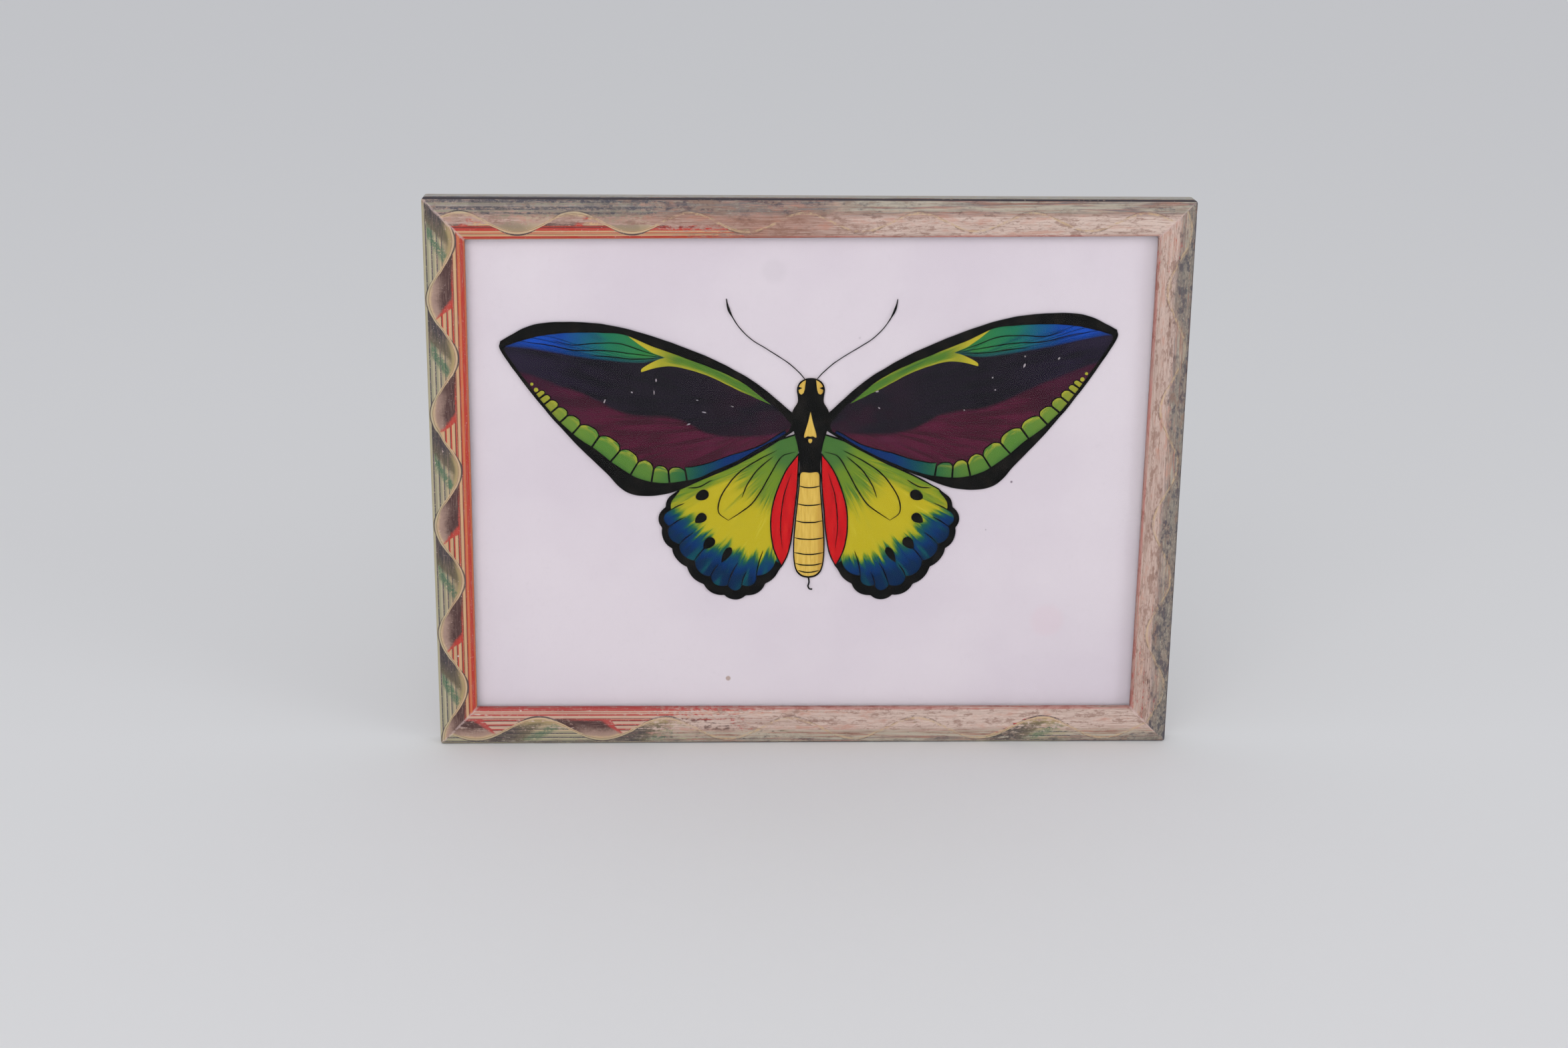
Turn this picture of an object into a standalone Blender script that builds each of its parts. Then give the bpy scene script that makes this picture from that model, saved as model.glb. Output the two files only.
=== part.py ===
"""Framed butterfly picture, painted on the back of its glass: the solid pieces at their real size.

Metres, +Z up. The frame stands on its bottom edge with the front facing -Y, and the origin is under its middle.
The picture itself is only paint on the glass, so it has no solid of its own.
"""

import math

import bmesh
import bpy
from mathutils import Vector

MM = 0.001

# Outside of the frame
FRAME_WIDTH = 360 * MM
FRAME_HEIGHT = 271 * MM
FRAME_DEPTH = 12 * MM

# Section of the moulding, with heights above the back of the frame
FACE_WIDTH = 18.5 * MM
EDGE_HEIGHT = 9.5 * MM
LIP_BACK = 7.9 * MM
RABBET_WIDTH = 6 * MM
HUMP_STEPS = 16
HUMP_POWER = 2.3

# How far each inner corner strays from a true rectangle, because the rails were cut by hand
SIGHT_STRAY = {
    "bottom_left": (-0.2 * MM, 0.4 * MM),
    "bottom_right": (0.2 * MM, -0.2 * MM),
    "top_right": (1.2 * MM, 1.6 * MM),
    "top_left": (0.8 * MM, -1.0 * MM),
}

# Gaps between pieces that touch
TOUCH = 0.3 * MM
SHEET_CLEARANCE = 1.2 * MM

# What lies in the rabbet
GLASS_THICKNESS = 2 * MM
PAPER_THICKNESS = 0.35 * MM
BOARD_THICKNESS = 1.5 * MM
BOARD_BACK = 2.2 * MM

# Wire brads that keep the board in
BRAD_RADIUS = 0.5 * MM
BRAD_HEIGHT = 1.4 * MM
BRAD_IN_WOOD = 6 * MM
BRAD_OVER_BOARD = 6.5 * MM
BRAD_SHARES = (0.25, 0.75)
BRAD_SIDES = 10
HOLE_CLEARANCE = 0.35 * MM

# Edges sharper than these stay crisp when a piece is shaded smooth
WOOD_CREASE = math.radians(35)
WIRE_CREASE = math.radians(50)

# Each rail runs between two corners, anticlockwise as seen from the front
RAILS = {
    "bottom_rail": ("bottom_left", "bottom_right"),
    "right_rail": ("bottom_right", "top_right"),
    "top_rail": ("top_right", "top_left"),
    "left_rail": ("top_left", "bottom_left"),
}


def clear_scene():
    for old in list(bpy.data.objects):
        bpy.data.objects.remove(old, do_unlink=True)


def material(name, colour, roughness, metallic=0.0, alpha=1.0):
    made = bpy.data.materials.new(name)
    made.use_nodes = True
    shader = made.node_tree.nodes["Principled BSDF"]
    shader.inputs["Base Color"].default_value = (*colour, 1.0)
    shader.inputs["Roughness"].default_value = roughness
    shader.inputs["Metallic"].default_value = metallic
    shader.inputs["Alpha"].default_value = alpha
    return made


def object_from(name, mesh, finish):
    made = bpy.data.objects.new(name, mesh)
    made.data.materials.append(finish)
    bpy.context.scene.collection.objects.link(made)
    return made


def depth_of(height):
    """The y of a point at this height above the back of the frame."""
    return FRAME_DEPTH / 2 - height


def outer_corner(corner):
    x = FRAME_WIDTH / 2 if corner.endswith("right") else -FRAME_WIDTH / 2
    z = FRAME_HEIGHT if corner.startswith("top") else 0.0
    return Vector((x, 0.0, z))


def inner_corner(corner):
    """The corner of the opening that shows the picture."""
    outer = outer_corner(corner)
    stray_x, stray_z = SIGHT_STRAY[corner]
    inward_x = -math.copysign(FACE_WIDTH, outer.x)
    inward_z = -FACE_WIDTH if outer.z > 0 else FACE_WIDTH
    return outer + Vector((inward_x + stray_x, 0.0, inward_z + stray_z))


def moulding_section():
    """(across, height) points: the back, the outer side, the humped front, the lip and the rabbet."""
    rise = FRAME_DEPTH - EDGE_HEIGHT
    half = FACE_WIDTH / 2
    points = [(0.0, 0.0)]
    for step in range(HUMP_STEPS + 1):
        angle = math.pi * (1 - step / HUMP_STEPS)
        across = math.copysign(abs(math.cos(angle)) ** (2 / HUMP_POWER), math.cos(angle))
        lift = max(0.0, math.sin(angle)) ** (2 / HUMP_POWER)
        points.append((half + half * across, EDGE_HEIGHT + rise * lift))
    points.append((FACE_WIDTH, LIP_BACK))
    points.append((FACE_WIDTH - RABBET_WIDTH, LIP_BACK))
    points.append((FACE_WIDTH - RABBET_WIDTH, 0.0))
    return points


def mitre_end(corner, inset):
    """The section's points in the mitre plane of one corner, moved along the rail by inset."""
    outer = outer_corner(corner)
    inward = inner_corner(corner) - outer
    return [
        outer + inward * (across / FACE_WIDTH) + Vector((0.0, depth_of(height), 0.0)) + inset
        for across, height in moulding_section()
    ]


def rail(name, start, end, finish):
    """One mitred length of moulding between two corners. The joints are at 45 degrees, hence the root of two."""
    along = (outer_corner(end) - outer_corner(start)).normalized()
    half_gap = along * (TOUCH / math.sqrt(2))
    mesh = bmesh.new()
    rings = [
        [mesh.verts.new(point) for point in mitre_end(start, half_gap)],
        [mesh.verts.new(point) for point in mitre_end(end, -half_gap)],
    ]
    count = len(rings[0])
    for i in range(count):
        j = (i + 1) % count
        mesh.faces.new((rings[0][i], rings[0][j], rings[1][j], rings[1][i]))
    mesh.faces.new(rings[0])
    mesh.faces.new(list(reversed(rings[1])))
    bmesh.ops.recalc_face_normals(mesh, faces=mesh.faces)
    data = bpy.data.meshes.new(name)
    mesh.to_mesh(data)
    mesh.free()
    data.shade_smooth()
    data.set_sharp_from_angle(angle=WOOD_CREASE)
    return object_from(name, data, finish)


def slab(name, half_width, half_height, back, thickness, finish):
    """A flat rectangular sheet behind the lip, with its back at this height above the back of the frame."""
    mesh = bmesh.new()
    bmesh.ops.create_cube(mesh, size=1.0)
    bmesh.ops.scale(mesh, verts=mesh.verts, vec=(2 * half_width, thickness, 2 * half_height))
    data = bpy.data.meshes.new(name)
    mesh.to_mesh(data)
    mesh.free()
    made = object_from(name, data, finish)
    made.location = (0.0, depth_of(back + thickness / 2), FRAME_HEIGHT / 2)
    return made


def round_bar(name, radius, length, finish):
    """A straight round bar along X, centred on its own origin."""
    mesh = bmesh.new()
    bmesh.ops.create_cone(
        mesh, cap_ends=True, segments=BRAD_SIDES, radius1=radius, radius2=radius, depth=length
    )
    data = bpy.data.meshes.new(name)
    mesh.to_mesh(data)
    mesh.free()
    data.transform(Vector((0, 0, 1)).rotation_difference(Vector((1, 0, 0))).to_matrix().to_4x4())
    data.shade_smooth()
    data.set_sharp_from_angle(angle=WIRE_CREASE)
    return object_from(name, data, finish)


def place_bar(bar, wall_point, inward, centre_offset):
    """Lays a bar square to a rail, its middle this far inside the rabbet's wall."""
    bar.location = wall_point + inward * centre_offset
    bar.rotation_mode = "QUATERNION"
    bar.rotation_quaternion = Vector((1, 0, 0)).rotation_difference(inward)


def brads_and_holes(rails, steel, wood):
    """Two brads in each rail, half in the wood and half over the back of the board."""
    number = 0
    for name, (start, end) in RAILS.items():
        first, last = outer_corner(start), outer_corner(end)
        along = (last - first).normalized()
        inward = Vector((-along.z, 0.0, along.x))
        wall = inward * (FACE_WIDTH - RABBET_WIDTH) + Vector((0.0, depth_of(BRAD_HEIGHT), 0.0))
        for share in BRAD_SHARES:
            number += 1
            wall_point = first.lerp(last, share) + wall
            brad = round_bar(f"brad_{number}", BRAD_RADIUS, BRAD_IN_WOOD + BRAD_OVER_BOARD, steel)
            place_bar(brad, wall_point, inward, (BRAD_OVER_BOARD - BRAD_IN_WOOD) / 2)
            hole_length = 2 * (BRAD_IN_WOOD + TOUCH)
            hole = round_bar(f"hole_{number}", BRAD_RADIUS + HOLE_CLEARANCE, hole_length, wood)
            place_bar(hole, wall_point, inward, 0.0)
            hole.hide_render = True
            hole.display_type = "WIRE"
            cut = rails[name].modifiers.new(hole.name, "BOOLEAN")
            cut.operation = "DIFFERENCE"
            cut.object = hole


def main():
    clear_scene()
    wood = material("painted_wood", (0.44, 0.30, 0.23), 0.62)
    clear_glass = material("glass", (0.92, 0.94, 0.93), 0.03, alpha=0.15)
    pale_paper = material("pale_paper", (0.66, 0.58, 0.63), 0.8)
    brown_board = material("brown_board", (0.21, 0.12, 0.06), 0.85)
    steel = material("steel", (0.35, 0.34, 0.32), 0.4, metallic=1.0)

    rails = {name: rail(name, start, end, wood) for name, (start, end) in RAILS.items()}

    half_width = FRAME_WIDTH / 2 - FACE_WIDTH + RABBET_WIDTH - SHEET_CLEARANCE
    half_height = FRAME_HEIGHT / 2 - FACE_WIDTH + RABBET_WIDTH - SHEET_CLEARANCE
    glass_back = LIP_BACK - TOUCH - GLASS_THICKNESS
    paper_back = BOARD_BACK + BOARD_THICKNESS + TOUCH
    slab("glass_pane", half_width, half_height, glass_back, GLASS_THICKNESS, clear_glass)
    slab("backing_paper", half_width, half_height, paper_back, PAPER_THICKNESS, pale_paper)
    slab("backing_board", half_width, half_height, BOARD_BACK, BOARD_THICKNESS, brown_board)
    brads_and_holes(rails, steel, wood)


main()
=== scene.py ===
import math
import random

import bmesh
import bpy
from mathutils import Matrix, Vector, noise
from mathutils.geometry import delaunay_2d_cdt


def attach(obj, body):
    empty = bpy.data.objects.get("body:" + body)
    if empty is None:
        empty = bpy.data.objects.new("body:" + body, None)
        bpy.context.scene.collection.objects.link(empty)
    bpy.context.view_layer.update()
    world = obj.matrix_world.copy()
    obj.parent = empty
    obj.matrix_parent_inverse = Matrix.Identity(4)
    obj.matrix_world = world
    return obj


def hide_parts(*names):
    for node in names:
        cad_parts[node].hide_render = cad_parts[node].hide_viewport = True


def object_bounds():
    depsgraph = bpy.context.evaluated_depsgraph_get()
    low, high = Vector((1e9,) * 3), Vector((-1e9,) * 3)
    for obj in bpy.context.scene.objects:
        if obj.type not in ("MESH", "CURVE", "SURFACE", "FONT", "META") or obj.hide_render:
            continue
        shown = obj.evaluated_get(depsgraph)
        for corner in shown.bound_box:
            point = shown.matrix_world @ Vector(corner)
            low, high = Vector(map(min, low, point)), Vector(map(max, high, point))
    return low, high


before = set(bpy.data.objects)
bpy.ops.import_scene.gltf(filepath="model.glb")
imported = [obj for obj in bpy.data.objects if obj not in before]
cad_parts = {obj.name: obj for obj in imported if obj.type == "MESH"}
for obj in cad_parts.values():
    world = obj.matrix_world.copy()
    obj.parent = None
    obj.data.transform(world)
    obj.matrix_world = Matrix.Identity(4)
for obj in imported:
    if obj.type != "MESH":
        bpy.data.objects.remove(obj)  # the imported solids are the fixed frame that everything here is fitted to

mm = 0.001
perMetre = 1000  # millimetres
cadBox = [list(corner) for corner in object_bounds()]
lowCorner, highCorner = (Vector(corner) for corner in cadBox)
frameWidth = highCorner.x - lowCorner.x
frameHeight = highCorner.z - lowCorner.z
frameDepth = highCorner.y - lowCorner.y
backPlane = highCorner.y


# Node trees

def tint(red, green, blue):
    # an sRGB colour from 0 to 255, as the linear colour that a socket takes
    def straight(part):
        part /= 255
        return part / 12.92 if part <= 0.04045 else ((part + 0.055) / 1.055) ** 2.4
    return (straight(red), straight(green), straight(blue), 1.0)


class Flow:
    # one output socket; arithmetic on it adds Math nodes
    def __init__(self, bench, socket):
        self.bench = bench
        self.socket = socket

    def __add__(self, other):
        return self.bench.math("ADD", self, other)

    def __radd__(self, other):
        return self.bench.math("ADD", other, self)

    def __sub__(self, other):
        return self.bench.math("SUBTRACT", self, other)

    def __rsub__(self, other):
        return self.bench.math("SUBTRACT", other, self)

    def __mul__(self, other):
        return self.bench.math("MULTIPLY", self, other)

    def __rmul__(self, other):
        return self.bench.math("MULTIPLY", other, self)

    def __truediv__(self, other):
        return self.bench.math("DIVIDE", self, other)

    def size(self):
        return self.bench.math("ABSOLUTE", self)

    def most(self, other):
        return self.bench.math("MAXIMUM", self, other)

    def least(self, other):
        return self.bench.math("MINIMUM", self, other)

    def rise(self, low, high):
        # 0 up to low, 1 from high on, with a smooth step between them
        return self.bench.add("ShaderNodeMapRange", {"interpolation_type": "SMOOTHSTEP"},
                              {"Value": self, "From Min": low, "From Max": high})

    def fall(self, low, high):
        return 1 - self.rise(low, high)

    def stripe(self, centre, half, soft):
        # 1 within half of the centre, 0 outside
        return (self - centre).size().fall(half - soft, half + soft)


class Bench:
    # a node tree that is being built
    def __init__(self, tree):
        self.tree = tree

    def add(self, kind, settings=None, inputs=None, out=0):
        node = self.tree.nodes.new(kind)
        settings = dict(settings or {})
        stops = settings.pop("stops", None)
        points = settings.pop("points", None)
        for name, value in settings.items():
            setattr(node, name, value)
        if stops:
            self.setStops(node.color_ramp.elements, stops)
        if points:
            self.setPoints(node.mapping, points)
        for place, value in (inputs or {}).items():
            self.feed(node.inputs[place], value)
        return Flow(self, node.outputs[out])

    def setStops(self, elements, stops):
        while len(elements) > 1:
            elements.remove(elements[-1])
        elements[0].position, elements[0].color = stops[0]
        for position, colour in stops[1:]:
            elements.new(position).color = colour

    def setPoints(self, mapping, points):
        mapping.use_clip = False
        curve = mapping.curves[0].points
        while len(curve) > 2:
            curve.remove(curve[-1])
        for point, place in zip(curve, (points[0], points[-1])):
            point.location = place
        for place in points[1:-1]:
            curve.new(*place)
        mapping.update()

    def feed(self, socket, value):
        if isinstance(value, Flow):
            self.tree.links.new(value.socket, socket)
        else:
            socket.default_value = value

    def math(self, operation, first, second=0.0):
        return self.add("ShaderNodeMath", {"operation": operation}, {0: first, 1: second})

    def join(self, x, y, z=0.0):
        return self.add("ShaderNodeCombineXYZ", None, {0: x, 1: y, 2: z})

    def split(self, vector):
        parts = self.tree.nodes.new("ShaderNodeSeparateXYZ")
        self.feed(parts.inputs[0], vector)
        return [Flow(self, output) for output in parts.outputs]

    def vector(self, operation, first, second):
        return self.add("ShaderNodeVectorMath", {"operation": operation}, {0: first, 1: second})

    def between(self, first, second, share):
        # the point or vector that lies this share of the way
        return self.add("ShaderNodeMix", {"data_type": "VECTOR"}, {0: share, 4: first, 5: second},
                        out=1)

    def blend(self, first, second, share, mode="MIX"):
        # colours, mixed by share
        return self.add("ShaderNodeMix", {"data_type": "RGBA", "blend_type": mode},
                        {0: share, 6: first, 7: second}, out=2)

    def over(self, colour, *layers):
        # lays (colour, share) pairs over a colour, one after another
        for upper, share in layers:
            colour = self.blend(colour, upper, share)
        return colour

    def grain(self, place, scale, detail=2.0, roughness=0.5):
        return self.add("ShaderNodeTexNoise", None,
                        {"Vector": place, "Scale": scale, "Detail": detail, "Roughness": roughness})

    def reach(self, x, y):
        # the distance of a point from zero
        return self.math("SQRT", x * x + y * y)

    def named(self, name):
        # a float attribute that the mesh carries
        if self.tree.type == "GEOMETRY":
            return self.add("GeometryNodeInputNamedAttribute", {"data_type": "FLOAT"}, {"Name": name})
        return self.add("ShaderNodeAttribute", {"attribute_name": name}, out="Fac")


class Finish(Bench):
    # a material with one Principled shader; fixed values are set on its own sockets
    def __init__(self, name, **fixed):
        self.material = bpy.data.materials.new(name)
        self.material.use_nodes = True
        super().__init__(self.material.node_tree)
        self.shader = self.tree.nodes["Principled BSDF"]
        for place, value in fixed.items():
            self.set(place.replace("_", " "), value)
        self.spot = self.add("ShaderNodeTexCoord", out="Object")

    def set(self, place, value):
        self.feed(self.shader.inputs[place], value)

    def bump(self, height, distance, strength=1.0):
        self.set("Normal", self.add("ShaderNodeBump", None,
                                    {"Height": height, "Distance": distance, "Strength": strength}))


class Shaper(Bench):
    # a Geometry Nodes tree with named inputs, which each modifier sets for itself
    def __init__(self, name, sockets):
        super().__init__(bpy.data.node_groups.new(name, "GeometryNodeTree"))
        face = self.tree.interface
        face.new_socket("Geometry", in_out="INPUT", socket_type="NodeSocketGeometry")
        for socket, kind in sockets.items():
            face.new_socket(socket, in_out="INPUT", socket_type="NodeSocket" + kind)
        face.new_socket("Geometry", in_out="OUTPUT", socket_type="NodeSocketGeometry")
        self.source = self.tree.nodes.new("NodeGroupInput")

    def given(self, name):
        return Flow(self, self.source.outputs[name])

    def end(self, geometry, finish):
        solid = self.add("GeometryNodeRealizeInstances", None, {0: geometry})
        worn = self.add("GeometryNodeSetMaterial", None, {"Geometry": solid, "Material": finish})
        sink = self.tree.nodes.new("NodeGroupOutput")
        self.feed(sink.inputs[0], worn)
        self.tree.is_modifier = True

    def run(self, host, values):
        # gives the host's evaluated result as a plain mesh
        modifier = host.modifiers.new(self.tree.name, "NODES")
        modifier.node_group = self.tree
        for item in self.tree.interface.items_tree:
            if item.in_out == "INPUT" and item.name in values:
                modifier[item.identifier] = values[item.name]
        bpy.context.view_layer.update()
        seen = host.evaluated_get(bpy.context.evaluated_depsgraph_get())
        result = bpy.data.meshes.new_from_object(seen)
        host.modifiers.remove(modifier)
        return result


# Pieces

def newObject(name, data):
    made = bpy.data.objects.new(name, data)
    bpy.context.scene.collection.objects.link(made)
    return made


def settle(name, data, crease=40):
    # a finished piece: normals out, smooth but for its creases, riding on the frame
    skin = bmesh.new()
    skin.from_mesh(data)
    bmesh.ops.remove_doubles(skin, verts=skin.verts, dist=1e-7)
    bmesh.ops.delete(skin, geom=[vert for vert in skin.verts if not vert.link_faces], context="VERTS")
    bmesh.ops.recalc_face_normals(skin, faces=skin.faces)
    skin.to_mesh(data)
    skin.free()
    data.shade_smooth()
    data.set_sharp_from_angle(angle=math.radians(crease))
    data.name = name
    made = newObject(name, data)
    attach(made, "root")
    return made


def plainMesh(name, points, edges=(), faces=()):
    data = bpy.data.meshes.new(name)
    data.from_pydata(points, edges, faces)
    return data


# Camera, floor and light

view = {
    "place": (-50.6 * mm, -1079.2 * mm, 448.1 * mm),
    "right": (0.99939, -0.03350, 0.00964),
    "up": (0.00075, 0.29710, 0.95485),
    "focalPixels": 3494,
    "imageWidth": 2346,
    "sensor": 36,
}

room = {
    "floorRadius": 9.0,
    "floorColour": tint(246, 245, 244),
    "skyColour": (0.93, 0.95, 1.0, 1.0),
    "skyStrength": 0.62,
}

lamps = {  # place, aim, size, watts and colour
    "keyLamp": ((-0.5, -2.1, 0.85), (0, 0, 0.13), 2.2, 16, (1.0, 0.985, 0.98)),
    "fillLamp": ((1.9, -1.5, 0.8), (0, 0, 0.13), 1.2, 6, (0.97, 0.98, 1.0)),
}


def makeCamera():
    lens = bpy.data.cameras.new("camera")
    lens.sensor_width = view["sensor"]
    lens.lens = view["focalPixels"] / view["imageWidth"] * view["sensor"]
    camera = newObject("camera", lens)
    right = Vector(view["right"]).normalized()
    back = right.cross(Vector(view["up"])).normalized()
    up = back.cross(right)
    turn = camera.matrix_world.copy()
    for row in range(3):
        turn[row][0], turn[row][1], turn[row][2] = right[row], up[row], back[row]
        turn[row][3] = view["place"][row]
    camera.matrix_world = turn
    bpy.context.scene.camera = camera
    print("camera placed")


def makeRoom():
    disc = bmesh.new()
    bmesh.ops.create_circle(disc, cap_ends=True, segments=96, radius=room["floorRadius"])
    data = bpy.data.meshes.new("floor")
    disc.to_mesh(data)
    disc.free()
    floor = newObject("floor", data)
    finish = Finish("floorFinish", Roughness=0.75)
    finish.set("Base Color", room["floorColour"])
    data.materials.append(finish.material)

    world = bpy.data.worlds.new("paleSky")
    world.use_nodes = True
    sky = world.node_tree.nodes["Background"]
    sky.inputs["Color"].default_value = room["skyColour"]
    sky.inputs["Strength"].default_value = room["skyStrength"]
    bpy.context.scene.world = world
    bpy.context.scene.view_settings.view_transform = "Standard"

    for name, (place, aim, size, watts, colour) in lamps.items():
        lamp = bpy.data.lights.new(name, "AREA")
        lamp.shape = "DISK"
        lamp.size = size
        lamp.energy = watts
        lamp.color = colour
        holder = newObject(name, lamp)
        holder.location = place
        holder.rotation_mode = "QUATERNION"
        holder.rotation_quaternion = (Vector(aim) - Vector(place)).to_track_quat("-Z", "Y")
    print("floor and lamps placed")


# Rails: one moulding, swept between the mitres and then worn

moulding = {
    "face": 18.5 * mm,
    "edge": 9.5 * mm,
    "lipBack": 7.9 * mm,
    "rabbet": 6.0 * mm,
    "humpPower": 2.3,
    "humpSteps": 44,
    "ringSpacing": 1.0 * mm,
    "cornerRadius": 1.7 * mm,
    "dent": 0.16 * mm,
    "grainDepth": 0.05 * mm,
    "nick": 0.45 * mm,
    "dentScale": 70,
    "nickScale": 210,
    "fibreScale": (9, 620, 300),  # along, across and up
}

sightStray = {  # how far each corner of the opening strays from a true rectangle
    "bottomLeft": (-0.2 * mm, 0.4 * mm),
    "bottomRight": (0.2 * mm, -0.2 * mm),
    "topRight": (1.2 * mm, 1.6 * mm),
    "topLeft": (0.8 * mm, -1.0 * mm),
}

nowhere = ((0, 0), (1, 0))
roseBand = ((13.4, 0.2, "darkRed"), (15.2, 0.4, "rose"), (16.25, 0.14, "rose"), (17.9, 0.85, "rose"))

# Lengths across a rail are in mm from its outer edge, and lengths along it in mm of X or Z. The tables
# worn, sightWear, insideWear, pale and soot hold (place, amount) pairs, with places from 0 to 1 along
# the rail's axis.
railLooks = {
    "leftRail": {
        "node": "left_rail", "ends": ("topLeft", "bottomLeft"), "run": 2, "seed": 3.1,
        "wave": (1.6, 13.6), "waveLength": -55.2, "crest": 223.4, "ground": "edgeCream",
        "outerLines": ((1.55, 0.3), (4.1, 0.3), (6.4, 0.28), (8.6, 0.22)),
        "band": ((13.2, 0.2, "darkRed"), (16.8, 1.8, "red"), (14.85, 0.2, "darkRed"),
                 (15.9, 0.5, "orange"), (18.3, 0.3, "orange")),
        "reds": ("red", "cream"), "smudge": 1.0, "green": 1.0, "stain": (2, 6), "wash": (3, 7),
        "arris": 0.0, "innerWear": 0.0,
        "worn": ((0, 0.25), (0.08, 0.1), (0.5, 0.08), (0.84, 0.2), (1, 0.36)),
        "sightWear": nowhere, "insideWear": nowhere, "pale": ((0, 0.3), (1, 0.3)), "soot": nowhere,
    },
    "bottomRail": {
        "node": "bottom_rail", "ends": ("bottomLeft", "bottomRight"), "run": 0, "seed": 8.4,
        "wave": (2.6, 13.4), "waveLength": 62.2, "crest": -162.4, "ground": "edgeCream",
        "outerLines": ((1.3, 0.3), (3.6, 0.3), (5.8, 0.28), (8.0, 0.2)),
        "band": roseBand, "reds": ("rose", "blush"), "smudge": 0.9, "green": 0.8, "stain": (2, 5),
        "wash": (5.5, 9), "arris": 0.8, "innerWear": 0.04,
        "worn": ((0, 0.33), (0.24, 0.34), (0.36, 0.6), (0.7, 0.7), (0.77, 0.4), (0.84, 0.4), (0.9, 0.7),
                 (1, 0.5)),
        "sightWear": nowhere, "insideWear": ((0, 0), (0.6, 0), (0.72, 0.4), (1, 0.45)),
        "pale": ((0, 0.5), (0.3, 0.65), (0.5, 0.65), (0.7, 0.75), (1, 0.7)),
        "soot": ((0, 0.15), (0.4, 0.34), (0.88, 0.34), (0.95, 0.5), (1, 0.8)),
    },
    "rightRail": {
        "node": "right_rail", "ends": ("bottomRight", "topRight"), "run": 2, "seed": 5.7,
        "wave": (2.4, 12.8), "waveLength": -57.0, "crest": 200.0, "ground": "greyBeige",
        "outerLines": ((0.9, 0.5), (2.8, 0.3), (4.8, 0.25)),
        "band": roseBand, "reds": ("rose", "blush"), "smudge": 0.7, "green": 0.5, "stain": (6, 11),
        "wash": (4, 9), "arris": 0.5, "innerWear": 0.1,
        "worn": ((0, 0.42), (0.3, 0.66), (0.7, 0.72), (0.86, 0.58), (1, 0.66)),
        "sightWear": nowhere, "insideWear": nowhere, "pale": ((0, 0.4), (1, 0.6)),
        "soot": ((0, 1.0), (0.16, 0.9), (0.3, 0.72), (0.55, 0.6), (0.8, 0.6), (1, 0.85)),
    },
    "topRail": {
        "node": "top_rail", "ends": ("topRight", "topLeft"), "run": 0, "seed": 1.9,
        "wave": (6.4, 15.4), "waveLength": 53.2, "crest": -162.8, "ground": "greyBeige",
        "outerLines": ((0.4, 1.6), (4.4, 0.8), (6.6, 0.5)),
        "band": ((13.4, 1.15, "red"), (12.9, 0.35, "darkRed"), (15.5, 0.2, "red"), (16.1, 0.12, "darkRed"),
                 (17.8, 0.8, "red"), (18.3, 0.3, "orange")),
        "reds": ("red", "cream"), "smudge": 0.35, "green": 0.0, "stain": (5, 9), "wash": (4.5, 8),
        "arris": 1.0, "innerWear": 0.13,
        "worn": ((0, 0.45), (0.1, 0.38), (0.2, 0.4), (0.27, 0.44), (0.33, 0.68), (1, 0.76)),
        "sightWear": ((0, -0.4), (0.3, -0.42), (0.4, -0.3), (0.46, 0), (1, 0.05)), "insideWear": nowhere,
        "pale": ((0, 0.25), (0.3, 0.1), (0.45, 0.0), (0.52, 0.2), (0.62, 0.65), (1, 0.85)),
        "soot": ((0, 0.2), (0.4, 0.45), (0.6, 0.3), (0.9, 0.25), (1, 0.45)),
    },
}

railNoise = {  # scale along and across the rail, shift of the pattern, detail
    "drift": (0.02, 0.2, 0, 2),
    "streak": (0.035, 1.3, 3, 4),
    "scratch": (0.14, 4.2, 5, 3),
    "mottle": (0.4, 0.6, 7, 4),
    "specks": (1.5, 1.7, 9, 2),
    "hatch": (0.9, 0.5, 11, 2),
    "patches": (0.16, 0.3, 13, 4),
    "cloud": (0.11, 0.3, 21, 5),
    "smear": (0.5, 1.1, 23, 4),
    "stain": (0.05, 1.1, 15, 4),
    "wiped": (0.03, 0.8, 19, 3),
}

railBrush = {  # the painted strokes on the rails, in mm
    "waveHalf": 0.62,
    "shadeHalf": 0.3,
    "shadeSwell": 0.22,
    "shadeOff": 0.95,
    "olive": 0.45,
    "innerStripes": (7.8, 10.2, 12.55),
    "bristles": 190,  # how fine the hairs are that the green dabs show
}

paintTones = {
    "edgeCream": tint(184, 176, 144),
    "greyBeige": tint(166, 156, 146),
    "cream": tint(210, 168, 124),
    "wave": tint(206, 176, 138),
    "waveBrown": tint(128, 92, 56),
    "paleOlive": tint(146, 142, 116),
    "olive": tint(112, 102, 70),
    "tan": tint(172, 150, 104),
    "mauve": tint(168, 138, 124),
    "charcoal": tint(58, 50, 56),
    "navy": tint(64, 63, 76),
    "green": tint(74, 114, 82),
    "deepGreen": tint(44, 88, 68),
    "maroon": tint(74, 42, 40),
    "red": tint(188, 52, 38),
    "darkRed": tint(124, 36, 32),
    "orange": tint(208, 112, 66),
    "rose": tint(182, 62, 58),
    "blush": tint(206, 168, 146),
    "chip": tint(216, 190, 184),
    "bareWood": tint(195, 165, 156),
    "warmWood": tint(162, 121, 104),
    "paleWood": tint(223, 202, 189),
    "wash": tint(190, 182, 164),
    "brownStreak": tint(138, 98, 82),
    "greyStain": tint(122, 116, 116),
    "soot": tint(88, 84, 83),
    "warmGrey": tint(138, 127, 116),
    "rubbedRed": tint(190, 128, 106),
    "sideGrey": tint(182, 178, 170),
    "backWood": tint(176, 142, 108),
}


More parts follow.
